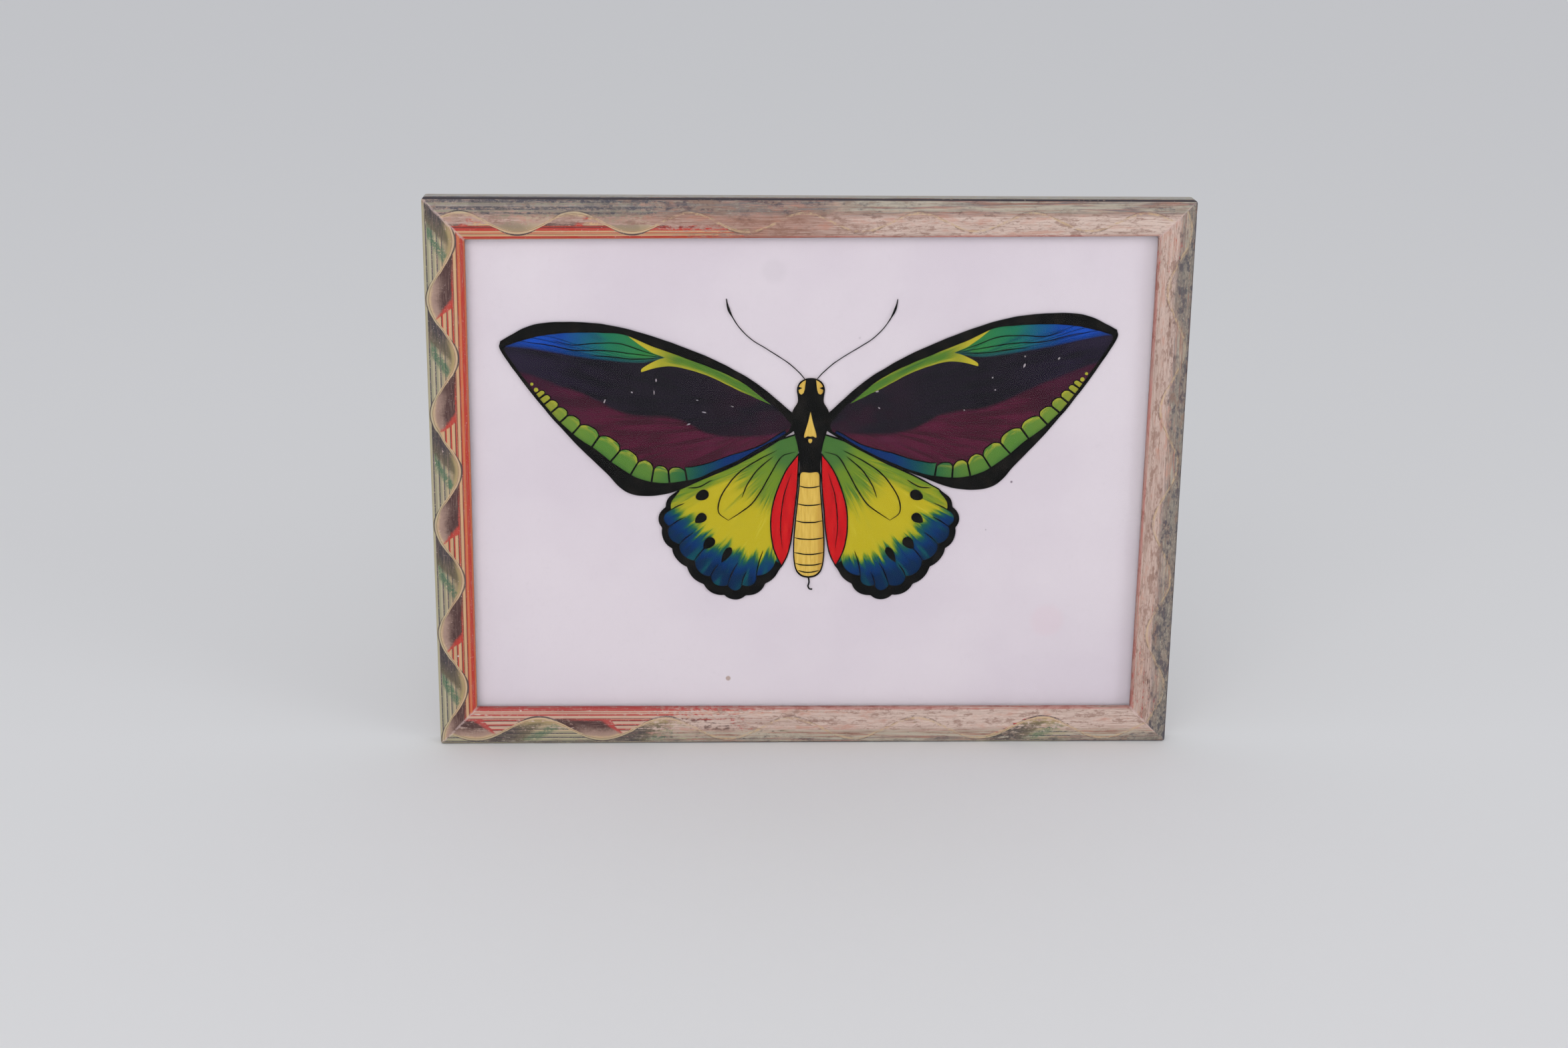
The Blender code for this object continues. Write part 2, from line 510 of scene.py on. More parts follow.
def outerCorner(name):
    x = highCorner.x if name.endswith("Right") else lowCorner.x
    z = highCorner.z if name.startswith("top") else lowCorner.z
    return Vector((x, 0, z))


def sightCorner(name):
    outer = outerCorner(name)
    strayX, strayZ = sightStray[name]
    inX = -math.copysign(moulding["face"], outer.x)
    inZ = -moulding["face"] if name.startswith("top") else moulding["face"]
    return outer + Vector((inX + strayX, 0, inZ + strayZ))


def sectionPoints():
    # (across, height above the back), all the way round
    face, edge = moulding["face"], moulding["edge"]
    wall = face - moulding["rabbet"]
    rise = frameDepth - edge
    power = 2 / moulding["humpPower"]
    points = [(0, edge * step / 8) for step in range(8)]
    for step in range(moulding["humpSteps"] + 1):
        angle = math.pi * (1 - step / moulding["humpSteps"])
        across = math.copysign(abs(math.cos(angle)) ** power, math.cos(angle))
        lift = max(0.0, math.sin(angle)) ** power
        points.append((face / 2 * (1 + across), edge + rise * lift))
    points += [(face, edge - (edge - moulding["lipBack"]) * step / 3) for step in (1, 2, 3)]
    points += [(wall, moulding["lipBack"]), (wall, moulding["lipBack"] / 2), (wall, 0)]
    points += [(wall * (1 - step / 6), 0) for step in range(1, 6)]
    return points


def mouldingShaper():
    shaper = Shaper("wornMoulding", {
        "Section": "Object", "Outer Start": "Vector", "Outer End": "Vector", "Sight Start": "Vector",
        "Sight End": "Vector", "Rings": "Int", "Dent": "Float", "Grain": "Float", "Nick": "Float",
        "Corner Radius": "Float", "Seed": "Float", "Material": "Material",
    })
    given = shaper.given
    line = shaper.add("GeometryNodeCurvePrimitiveLine", None, {"Start": (0, 0, 0), "End": (0, 0, 1)})
    path = shaper.add("GeometryNodeResampleCurve", {"mode": "COUNT"},
                      {"Curve": line, "Count": given("Rings")})
    share = shaper.add("GeometryNodeSplineParameter", out="Factor")
    path = store(shaper, path, "alongPart", share)
    section = shaper.add("GeometryNodeObjectInfo", None, {"Object": given("Section")}, out="Geometry")
    section = shaper.add("GeometryNodeMeshToCurve", None, {0: section})
    sectionX, sectionY, _ = shaper.split(shaper.add("GeometryNodeInputPosition"))
    section = store(shaper, section, "across", sectionX)
    section = store(shaper, section, "height", sectionY)
    body = shaper.add("GeometryNodeCurveToMesh", None,
                      {"Curve": path, "Profile Curve": section, "Fill Caps": True})

    part, across, height = (shaper.named(name) for name in ("alongPart", "across", "height"))
    inward = across / moulding["face"]
    start = shaper.between(given("Outer Start"), given("Sight Start"), inward)
    end = shaper.between(given("Outer End"), given("Sight End"), inward)
    base = shaper.between(start, end, part)
    x, _, z = shaper.split(base)

    # the outer corners are rubbed round
    radius = given("Corner Radius")
    middle = frameHeight / 2
    overX = (x.size() - (frameWidth / 2 - radius)).most(0)
    overZ = ((z - middle).size() - (middle - radius)).most(0)
    reach = shaper.reach(overX, overZ)
    cut = (reach - radius).most(0) / reach.most(1e-6)
    x = x - shaper.math("SIGN", x) * overX * cut
    z = z - shaper.math("SIGN", z - middle) * overZ * cut

    # wear: dents, grain and nicks all take wood away
    front = height.rise(moulding["edge"] - 1.2 * mm, moulding["edge"] + 0.4 * mm)
    fibreAlong, fibreAcross, fibreUp = moulding["fibreScale"]
    seed = given("Seed")
    rubbed = shaper.grain(shaper.vector("ADD", base, shaper.join(seed, 0, 0)), moulding["dentScale"], 3)
    fibre = shaper.grain(
        shaper.join(part * fibreAlong + seed, across * fibreAcross, height * fibreUp), 1.0, 3, 0.6)
    rough = shaper.grain(shaper.vector("ADD", base, shaper.join(0, seed, 0)), moulding["nickScale"], 3)
    nearEdge = across.fall(0.2 * mm, 1.6 * mm) * height.rise(moulding["edge"] - 2 * mm, moulding["edge"])
    nick = rough.rise(0.56, 0.74) * nearEdge * given("Nick")
    dents = rubbed.rise(0.42, 0.72) * given("Dent") + fibre.rise(0.35, 0.75) * given("Grain")
    y = backPlane - height + (front * dents + nick)
    moved = shaper.add("GeometryNodeSetPosition", None,
                       {"Geometry": body, "Position": shaper.join(x, y, z)})
    shaper.end(moved, given("Material"))
    return shaper


def store(shaper, geometry, name, value):
    return shaper.add("GeometryNodeStoreNamedAttribute", {"data_type": "FLOAT", "domain": "POINT"},
                      {"Geometry": geometry, "Name": name, "Value": value})


def railFinish(name, look):
    finish = Finish(name)
    tone = paintTones
    seed, run = look["seed"], look["run"]
    red, cream = (tone[word] for word in look["reds"])
    along = finish.split(finish.spot)[run] * perMetre
    across = finish.named("across") * perMetre
    height = finish.named("height") * perMetre
    edge = moulding["edge"] * perMetre
    start, stop = lowCorner[run] * perMetre, highCorner[run] * perMetre
    slants = [abs((sightCorner(end) - outerCorner(end))[run]) / moulding["face"]
              for end in sorted(look["ends"], key=lambda end: outerCorner(end)[run])]

    def rubbed(longWay, crossWay, shift, detail):
        # noise that is drawn out along the grain
        place = finish.join(along * longWay, across * crossWay, height * 0.3 + seed + shift)
        return finish.grain(place, 1.0, detail, 0.65)

    def table(key):
        # one of this rail's own tables, read along the rail
        return finish.add("ShaderNodeFloatCurve", {"points": look[key]},
                          {"Factor": 1.0, "Value": (along - start) / (stop - start)})

    drift, streak, scratch, mottle, specks, hatch, patches, cloud, smear, stain, wiped = (
        rubbed(*scales) for scales in railNoise.values())

    # the wavy line, with its shadow line on the side that it bulges to
    low, high = look["wave"]
    phase = (along - look["crest"]) / look["waveLength"] + (drift - 0.5) * 0.05
    turn = finish.math("FRACT", phase)
    sway = finish.math("COSINE", turn * math.tau) * -1
    off = across - (low + high) / 2 - sway * ((high - low) / 2)
    wave = off.stripe(0, railBrush["waveHalf"], 0.14)
    shadeHalf = railBrush["shadeHalf"] + sway.rise(0.2, 1) * railBrush["shadeSwell"]
    shade = (shadeHalf - (off - sway * railBrush["shadeOff"]).size()).rise(-0.1, 0.14)
    shade = shade * sway.size().rise(0.05, 0.5)
    waveTone = finish.over(
        tone["wave"],
        (tone["edgeCream"], across.fall(3, 10) * 0.6),
        (tone["waveBrown"], (off + sway * 0.42).stripe(0, 0.13, 0.1) * 0.8))

    # outside the wave: cream with dark lines, and in each hollow a dark smudge, a tan rim and green dabs
    lines = olives = 0.0
    for centre, half in look["outerLines"]:
        lines = across.stripe(centre, half, 0.13).most(lines)
        olives = across.stripe(centre + half + railBrush["olive"], railBrush["olive"], 0.15).most(olives)
    dust = specks.rise(0.28, 0.42) * (0.75 + scratch * 0.4).least(1)
    slope = turn - (across - 2.0) * 0.0175 + (hatch - 0.5) * 0.07
    dark = slope.fall(0.34, 0.40) * turn.rise(0.05, 0.12) * across.rise(1.1, 1.6) * look["smudge"]
    near = off.rise(-5.5, -1.6) * turn.rise(0.3, 0.44) * turn.fall(0.6, 0.72) * look["smudge"]
    smudge = finish.blend(tone["charcoal"], tone["olive"], slope.rise(0.2, 0.38) * 0.6)
    stroke = turn - (across - 2.7) * 0.03 + (hatch - 0.5) * 0.09
    dabs = stroke.stripe(0.43, 0.06, 0.04) * across.rise(1.7, 2.6) * off.fall(-1.8, -0.7)
    dabs = dabs * (hatch * 0.5 + mottle * 0.5).rise(0.34, 0.5) * look["green"]
    bristles = finish.math("SINE", stroke * railBrush["bristles"]).rise(-0.4, 0.8)
    green = finish.blend(tone["green"], tone["deepGreen"], bristles * 0.8)
    outer = finish.over(
        tone[look["ground"]],
        (tone["cream"], across.rise(3.0, 9.0) * 0.4),
        (tone["paleOlive"], olives * 0.7),
        (tone["navy"], lines * dust),
        (smudge, dark * (0.8 + hatch * 0.3).least(1)),
        (tone["olive"], near * slope.fall(0.4, 0.5) * 0.8),
        (tone["tan"], near * off.rise(-2.8, -1.2)),
        (green, dabs * 0.85))

    # inside it: maroon that pales by the wave, a red rim and a red slash, and striped cream below
    back = finish.math("FRACT", turn + 0.5)
    slash = back + (across - 13.6) * 0.0226 + (specks - 0.5) * 0.05 + (hatch - 0.5) * 0.03
    foot = back + (across - 13.6) * 0.0135 + (hatch - 0.5) * 0.012
    paling = (1.25 - off * 0.16 + (hatch - 0.5) * 0.5) * back.rise(0.2, 0.46)
    rim = (across + (specks - 0.5) * 1.6).rise(12.0, 12.9) * back.rise(0.14, 0.4)
    stripes = cream
    for centre in railBrush["innerStripes"]:
        stripes = finish.over(stripes, (red, across.stripe(centre, 0.42, 0.1)),
                              (tone["maroon"], across.stripe(centre - 0.36, 0.16, 0.08)))
    inner = finish.over(
        tone["maroon"],
        (tone["mauve"], paling.rise(0.1, 0.9)),
        (tone["wave"], paling.rise(0.75, 1.15) * off.fall(0.6, 2.6)),
        (red, rim),
        (red, slash.rise(0.44, 0.49)),
        (stripes, foot.rise(0.545, 0.56)))

    # the band along the opening
    band = cream
    for centre, half, word in look["band"]:
        ruled = across.stripe(centre, half, 0.12) * (0.7 + streak * 0.6).least(1)
        band = finish.blend(band, tone[word], ruled)
    bandFrom = look["band"][0][0] - look["band"][0][1]
    banded = (across + (specks - 0.5) * 0.8).rise(bandFrom - 0.1, bandFrom + 0.1) * off.rise(-0.2, 0.4)
    paint = finish.over(outer, (inner, off.rise(-0.1, 0.1)), (band, banded),
                        (tone["charcoal"], shade * 0.92), (waveTone, wave))

    # rubbed wood: pinkish, with long pale and brown scratches, and grey paint left near the outer edge
    pale = table("pale") * across.rise(5.5, 9.5)
    wiped = wiped.rise(0.4, 0.56) * across.fall(*look["wash"]) * 0.85 * table("pale").rise(0, 0.5)
    wood = finish.over(
        tone["warmWood"],
        (tone["bareWood"], (pale * 0.8 + streak.rise(0.4, 0.62) * 0.35).least(1)),
        (tone["brownStreak"], streak.fall(0.36, 0.5) * 0.6),
        (tone["paleWood"], (pale * (0.35 + streak * 1.1)).least(1)),
        (tone["paleWood"], scratch.rise(0.53, 0.68) * (0.3 + pale * 0.5)),
        (tone["brownStreak"], scratch.fall(0.32, 0.47) * 0.75),
        (tone["brownStreak"], (cloud * 0.7 + smear * 0.3).rise(0.5, 0.6) * 0.6),
        (tone["rubbedRed"], (drift * 0.4 + cloud * 0.6).fall(0.36, 0.48) * 0.5),
        (tone["greyStain"], stain.rise(0.46, 0.58) * across.fall(*look["stain"]) * 0.8),
        (tone["wash"], wiped),
        (tone["wave"], wave * mottle.rise(0.44, 0.58) * 0.4),
        (tone["brownStreak"], shade * mottle.rise(0.46, 0.58) * 0.35),
        (red, across.rise(17.1, 17.8) * streak.rise(0.34, 0.56) * 0.5))

    amount = table("worn") + across.rise(5.6, 8.0) * look["innerWear"]
    amount = amount + across.rise(11.4, 12.4) * table("sightWear")
    amount = amount + off.rise(0.9, 2.4) * table("insideWear")
    rough = (streak - 0.5) * 0.9 + (scratch - 0.5) * 0.6 + (mottle - 0.5) * 0.9
    worn = (amount + rough).rise(0.40, 0.58)

    # thin rubbing over all the paint, and chips
    chips = (patches * 0.7 + mottle * 0.3 + amount * 0.06).rise(0.665, 0.695) * worn.fall(0.2, 1)
    top = finish.over(
        paint, (wood, worn),
        (tone["mauve"], scratch.rise(0.50, 0.66) * worn.fall(0, 1) * 0.42),
        (tone["chip"], specks.rise(0.675, 0.72) * (1 - worn * 0.6) * 0.7),
        (tone["chip"], chips * 0.85))
    top = finish.blend(top, tone["brownStreak"], drift.rise(0.5, 0.75) * 0.2, "MULTIPLY")

    # the mitres' pale filler, grime in the hollows with the wave showing through, and the dark outer arris
    mitre = (along - start - across * slants[0]).least(stop - along - across * slants[1])
    filler = mitre.fall(0.3, 0.7 + mottle * 0.9) * mottle.rise(0.36, 0.5)
    stainFrom, stainTo = look["stain"]
    hollow = across.fall(stainFrom, stainTo + 3) * (0.6 + off.fall(-2.5, 2) * 0.65)
    soot = table("soot") * hollow * 1.1 + (cloud - 0.5) * 1.5 + (smear - 0.5) * 0.9 - 0.1
    soot = soot.rise(0.1, 0.8) * table("soot").rise(0, 0.1)
    sootTone = finish.over(
        tone["soot"],
        (tone["warmGrey"], (smear * 0.6 + cloud * 0.4).rise(0.34, 0.56)),
        (tone["wash"], (smear * 0.5 + scratch * 0.5).rise(0.50, 0.66) * 0.6),
        (tone["brownStreak"], cloud.rise(0.5, 0.66) * 0.5),
        (tone["navy"], (mottle * 0.4 + patches * 0.6).fall(0.43, 0.51) * 0.85))
    traces = worn * (mottle * 0.5 + streak * 0.5).rise(0.42, 0.56)
    arris = height.rise(edge - 1.4, edge - 0.6) * across.fall(0.5, 0.8) * (streak + mottle).rise(0.74, 0.84)
    top = finish.over(
        top, (tone["chip"], filler * 0.5), (sootTone, soot * 0.86),
        (tone["wave"], wave * traces * 0.45), (tone["charcoal"], shade * traces * 0.35),
        (tone["charcoal"], arris * look["arris"]))

    # the outer side, which the paint runs over, the lip and the back
    behind = finish.over(tone["backWood"], (tone["brownStreak"], streak.rise(0.4, 0.7) * 0.6),
                         (tone["greyStain"], drift.rise(0.5, 0.75) * 0.35))
    side = finish.over(tone["sideGrey"], (tone["brownStreak"], scratch.rise(0.5, 0.75) * 0.5),
                       (tone["edgeCream"], mottle.rise(0.5, 0.62) * 0.5), (behind, height.fall(0.2, 0.9)))
    runOver = (height + (mottle - 0.5) * 3).rise(edge - 3.6, edge - 2.9)
    finish.set("Base Color", finish.over(
        side, (top, runOver.most(across.rise(17.9, 18.3))),
        (behind, across.rise(12.4, 12.45) * height.fall(7.8, 8.0))))
    finish.set("Roughness", 0.5 + worn * 0.2 + scratch * 0.15)
    finish.bump(scratch * 0.6 + specks * 0.3 + mottle * 0.5 + wave * 0.25, 0.12 * mm, 0.8)
    return finish.material


bakeMap = {"rows": 4, "gap": 0.008, "endsFrom": 0.95, "endWidth": 0.4}


def bakeStrips(data, rows):
    # a bake map: the long skin cut into rows one above another, and the two ends in a strip over them
    layer = data.uv_layers.new(name="OFBake")
    keys = ("alongPart", "girth", "across", "height")
    part, girth, across, height = (data.attributes[key].data for key in keys)
    gap, endsFrom = bakeMap["gap"], bakeMap["endsFrom"]
    tall = endsFrom / rows
    for face in data.polygons:
        corners = [data.loops[i].vertex_index for i in face.loop_indices]
        shares = [part[i].value for i in corners]
        middle = sum(shares) / len(shares)
        row = min(rows - 1, int(middle * rows))
        wound = [girth[i].value for i in corners]
        seam = max(wound) - min(wound) > 0.5
        for loop, corner, share, wind in zip(face.loop_indices, corners, shares, wound):
            if len(corners) > 4:  # an end of the rail
                u = gap + round(middle) / 2 + across[corner].value / moulding["face"] * bakeMap["endWidth"]
                v = endsFrom + height[corner].value / frameDepth * (1 - endsFrom - gap)
            else:
                wind = 1.0 if seam and wind < 0.5 else wind
                u = gap + (share * rows - row) * (1 - 2 * gap)
                v = row * tall + gap + wind * (tall - 2 * gap)
            layer.data[loop].uv = (u, v)


def makeRails():
    shaper = mouldingShaper()
    section = sectionPoints()
    count, rows = len(section), bakeMap["rows"]
    ring = plainMesh("section", [(x, y, 0) for x, y in section],
                     [(i, (i + 1) % count) for i in range(count)])
    layer = ring.attributes.new("girth", "FLOAT", "POINT")
    layer.data.foreach_set("value", [i / count for i in range(count)])
    guide = newObject("section", ring)
    host = newObject("railHost", plainMesh("railHost", [(0, 0, 0)]))
    for name, look in railLooks.items():
        start, end = look["ends"]
        length = (outerCorner(end) - outerCorner(start)).length
        finish = railFinish(name + "Finish", look)
        data = shaper.run(host, {
            "Section": guide,
            "Outer Start": outerCorner(start), "Outer End": outerCorner(end),
            "Sight Start": sightCorner(start), "Sight End": sightCorner(end),
            "Rings": rows * round(length / moulding["ringSpacing"] / rows) + 1,
            "Dent": moulding["dent"], "Grain": moulding["grainDepth"], "Nick": moulding["nick"],
            "Corner Radius": moulding["cornerRadius"], "Seed": look["seed"], "Material": finish,
        })
        piece = settle(name, data, crease=50)
        bakeStrips(piece.data, rows)
        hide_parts(look["node"])
        print(name, "has", len(data.polygons), "faces")
    bpy.data.objects.remove(guide)
    bpy.data.objects.remove(host)


# Glass, paper, board and brads keep their solids

def glassFinish():
    # clear to the eye, and to light that passes on to the picture
    finish = Finish("clearGlass", Roughness=0.0, IOR=1.15)
    finish.set("Base Color", (0.97, 0.985, 0.98, 1))
    finish.set("Transmission Weight", 1.0)
    clear = finish.add("ShaderNodeBsdfTransparent", None, {"Color": (0.97, 0.98, 0.975, 1)})
    shadowRay = finish.add("ShaderNodeLightPath", out="Is Shadow Ray")
    both = finish.add("ShaderNodeMixShader", None,
                      {0: shadowRay, 1: Flow(finish, finish.shader.outputs[0]), 2: clear})
    finish.feed(finish.tree.nodes["Material Output"].inputs["Surface"], both)
    return finish.material


paperMarks = {  # x and height in mm, radius, strength and colour of each stain
    "ring": (-17, 236, 7.0, 0.16, tint(190, 180, 188)),
    "spot": (-38, 32, 1.5, 0.85, tint(176, 150, 140)),
    "blush": (119, 62, 10.0, 0.22, tint(222, 190, 200)),
}


def paperFinish():
    finish = Finish("paleLilacPaper", Roughness=0.85)
    finish.set("Specular IOR Level", 0.1)
    x, _, z = finish.split(finish.spot)
    cloud = finish.grain(finish.spot, 9, 3)
    fibre = finish.grain(finish.spot, 900, 2)
    colour = finish.over(tint(221, 209, 217), (tint(214, 201, 211), cloud.rise(0.35, 0.65)),
                         (tint(204, 192, 200), fibre.rise(0.6, 0.75) * 0.35))
    for markX, markZ, radius, strength, tone in paperMarks.values():
        reach = finish.reach(x * perMetre - markX, z * perMetre - markZ)
        colour = finish.blend(colour, tone, reach.fall(radius * 0.6, radius) * strength)
    dots = finish.add("ShaderNodeTexVoronoi", None, {"Vector": finish.spot, "Scale": 42.0}, out="Distance")
    colour = finish.blend(colour, tint(120, 104, 118), dots.fall(0.018, 0.034) * cloud.rise(0.45, 0.55))
    finish.set("Base Color", colour)
    finish.bump(fibre, 0.02 * mm, 0.4)
    return finish.material


def boardFinish():
    finish = Finish("brownBoard", Roughness=0.88)
    x, y, z = finish.split(finish.spot)
    fibre = finish.grain(finish.join(x * 900, y * 900, z * 900), 1.0, 3, 0.6)
    cloud = finish.grain(finish.spot, 14, 4)
    flecks = finish.grain(finish.join(x * 260, y, z * 700), 1.0, 2).rise(0.62, 0.7)
    finish.set("Base Color", finish.over(
        tint(124, 92, 66), (tint(104, 74, 52), cloud.rise(0.35, 0.65)),
        (tint(150, 118, 88), fibre.rise(0.55, 0.75) * 0.5), (tint(84, 60, 44), flecks * 0.5)))
    finish.bump(fibre, 0.08 * mm, 0.7)
    return finish.material


def wireFinish():
    finish = Finish("dullWire", Metallic=1.0)
    rust = finish.grain(finish.spot, 700, 3).rise(0.5, 0.62)
    finish.set("Base Color", finish.blend(tint(150, 146, 140), tint(112, 74, 50), rust))
    finish.set("Roughness", 0.35 + rust * 0.4)
    return finish.material


def dressSolids():
    finishes = {"glass_pane": glassFinish(), "backing_paper": paperFinish(),
                "backing_board": boardFinish()}
    wire = wireFinish()
    for name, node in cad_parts.items():
        made = finishes.get(name, wire if name.startswith("brad") else None)
        if made:
            node.data.materials.clear()
            node.data.materials.append(made)
    print("glass, paper, board and brads dressed")


# The butterfly: films of paint on the back of the glass, in mm from its own axis and above the foot

butterfly = {
    "axis": 1.0,
    "wingRoot": (10.0, 165.0),
    "foreTurn": 1.3,  # degrees that the right forewing is held up and the left one down
    "filmDepth": 0.035,
    "heights": {"ink": 5.53, "line": 5.45, "bright": 5.35, "ground": 5.25, "hind": 5.15},
    "step": 0.7,
    "handShake": 0.13,
    "shakeSeed": 7,
    "flakeSeed": 11,
    "flakes": 8,
}

foreEdge = [  # from the root along the leading edge to the tip, and back along the outer and under edge
    [(7.0, 167.0), (9.6, 168.6), (26.6, 183.4), (46.7, 195.1), (69.2, 204.6), (92.7, 211.9),
     (113.7, 214.2), (131.2, 212.8), (146.0, 205.5)],
    [(146.0, 205.5), (145.7, 200.4), (134.8, 183.5), (123.4, 168.0), (110.3, 152.4), (98.6, 140.2),
     (92.4, 132.8), (86.4, 129.0), (79.0, 127.9), (70.0, 128.7), (62.0, 131.2), (54.0, 134.6),
     (46.0, 138.0), (36.0, 142.2), (20.0, 151.0), (6.0, 160.0)],
]
foreWindow = [
    [(9.0, 162.0), (19.5, 173.3), (37.5, 186.1), (62.7, 196.9), (76.0, 202.2), (87.0, 207.2),
     (96.0, 208.4), (112.0, 208.9), (124.9, 207.9), (134.0, 206.0), (143.6, 203.2)],
    [(143.6, 203.2), (143.4, 199.7), (133.6, 184.6), (122.2, 168.9), (112.0, 158.4), (103.3, 152.0),
     (93.0, 143.4), (82.9, 136.9), (71.7, 134.3), (60.2, 135.3), (52.0, 137.2), (43.0, 140.6),
     (27.4, 148.2), (10.0, 159.0)],
]
forkBand = [
    [(19.0, 172.0), (32.7, 183.4), (45.1, 191.0), (57.5, 196.2), (67.7, 199.6), (76.0, 203.4),
     (88.6, 209.4)],
    [(88.6, 209.4), (82.0, 203.6), (75.0, 198.8), (68.6, 196.0)],
    [(68.6, 196.0), (73.5, 194.4), (79.8, 190.8), (80.0, 189.2)],
    [(80.0, 189.2), (71.9, 191.3), (63.7, 191.4), (49.2, 187.0), (34.8, 179.6), (19.0, 172.0)],
]
leafVeins = [
    [(70.0, 196.2), (80.0, 199.8), (90.0, 203.2), (101.0, 203.6), (112.0, 203.0), (121.0, 205.4)],
    [(70.0, 196.1), (83.0, 198.0), (97.0, 200.0), (111.0, 200.4), (124.0, 203.4), (133.0, 204.6)],
    [(72.0, 195.7), (84.0, 195.6), (95.0, 197.0), (104.0, 197.6)],
]
hindEdge = {
    "upper": [(4.0, 158.5), (20.0, 152.8), (34.0, 144.6), (50.0, 137.2), (62.8, 130.1)],
    "margin": [(62.8, 130.1), (69.2, 122.6), (72.3, 113.6), (68.9, 102.6), (60.8, 91.2), (49.2, 79.2),
               (35.7, 74.2), (23.6, 78.6), (12.9, 90.6)],
    "inner": [(12.9, 90.6), (15.4, 104.0), (12.6, 122.0), (6.6, 140.0), (4.0, 158.5)],
}
hindMargin = {
    "scallops": 9,
    "bump": 1.5,
    "arch": 2.6,
    "border": ((0, 0.8), (0.08, 2.4), (0.5, 4.8), (0.9, 5.4), (1, 3.0)),
}
hindVeins = [
    [(15.9, 149.1), (24.5, 144.6), (33.8, 138.3), (40.0, 130.8), (43.4, 124.2), (43.8, 118.0),
     (39.2, 114.0)],
    [(39.2, 114.0), (33.4, 118.0), (27.9, 122.4), (22.8, 130.0), (18.0, 139.0), (13.4, 146.2),
     (7.0, 148.4)],
    [(17.8, 146.0), (25.2, 139.4), (30.2, 131.8), (32.6, 125.6)],
    [(47.0, 134.4), (53.0, 131.0), (58.6, 130.4)],
]
hindSpots = [  # middle, width, length and how far the point is drawn out
    ((51.8, 126.7), 5.6, 6.6, 0.25), ((52.6, 115.0), 5.6, 6.4, 0.5), ((48.6, 102.4), 5.8, 7.0, 0.45),
    ((40.2, 96.4), 4.6, 9.0, 0.7),
]
redLobe = [
    [(5.4, 147.6), (12.0, 138.0), (17.2, 124.0), (18.6, 112.0), (17.2, 100.0), (13.2, 90.6)],
    [(13.2, 90.6), (10.2, 97.0), (8.4, 106.0), (7.2, 118.0), (6.0, 131.0), (5.4, 147.6)],
]
lobeVein = [(8.8, 138.0), (12.4, 126.0), (13.8, 112.0), (13.0, 100.0)]
bodyHalf = [(0.0, 184.9), (2.6, 184.5), (5.4, 182.7), (6.7, 179.4), (6.2, 175.0), (6.4, 172.6),
            (8.6, 168.6), (8.9, 163.6), (7.8, 158.0), (6.4, 153.0), (5.5, 148.0), (5.0, 142.4),
            (4.7, 138.6), (0.0, 138.0)]
abdomenHalf = [(0.0, 139.2), (4.9, 139.0), (5.4, 131.0), (6.2, 122.0), (7.0, 113.0), (7.6, 104.0),
               (7.5, 95.0), (6.3, 88.6), (3.6, 85.5), (0.0, 84.6)]
abdomenWindow = [(0.0, 138.0), (4.2, 137.8), (4.8, 131.0), (5.6, 122.0), (6.4, 113.0), (7.0, 104.0),
                 (6.9, 95.2), (5.8, 89.2), (3.2, 86.3), (0.0, 85.5)]
bodyRings = [131.0, 122.0, 113.4, 104.8, 97.2, 91.6, 88.0]
thoraxWedge = [(0.0, 168.4), (1.2, 163.0), (2.9, 157.0), (2.7, 155.4), (1.4, 156.2), (0.0, 155.9)]
thoraxDrop = [(0.0, 155.0), (0.9, 154.6), (0.8, 153.4), (0.0, 152.6)]
eyePatch = [(2.4, 183.9), (4.0, 183.0), (5.1, 181.9), (5.8, 180.6), (4.1, 179.9), (5.9, 179.0),
            (5.6, 177.5), (4.6, 176.7), (3.5, 177.4), (2.9, 179.4), (2.7, 181.6)]
antenna = [(3.0, 184.4), (6.0, 187.8), (11.6, 192.7), (20.0, 198.2), (28.1, 203.3), (34.0, 209.0),
           (37.9, 215.1), (39.6, 219.0), (40.4, 223.0)]
tailHook = [(0.0, 85.0), (0.3, 82.4), (-0.2, 80.4), (0.6, 79.0), (2.0, 78.9)]

foreCells = {
    "firstAt": 27.5,  # mm along the outer edge from the tip
    "widths": (3.1, 3.5, 5.2, 6.4, 8.0, 11.2, 11.6, 11.4, 10.6, 8.8, 8.4),
    "depths": ((0, 1.2), (27, 3.6), (40, 5.8), (55, 7.8), (75, 9.6), (92, 9.8), (104, 8.4), (120, 6.0),
               (140, 4.4), (156, 1.4)),
    "gap": 0.42,
    "tuck": 0.6,
    "dots": ((132.0, 184.4, 0.75), (130.1, 181.6, 1.05)),
}
strokeLooks = {  # width in mm and the share of each end over which it tapers
    "leafVein": (0.5, 0.25),
    "cellRim": (0.55, 0),
    "hindVein": (0.62, 0.2),
    "arm": (0.62, 0.4),
    "lobeRim": (0.66, 0),
    "lobeVein": (0.5, 0.3),
    "antenna": (0.48, 0),
    "tail": (0.8, 0),
    "bodyRing": (0.62, 0.2),
}
wingReach = ((0, 150), (120, 240))  # mm out from the axis and up, within which the curves on a wing lie


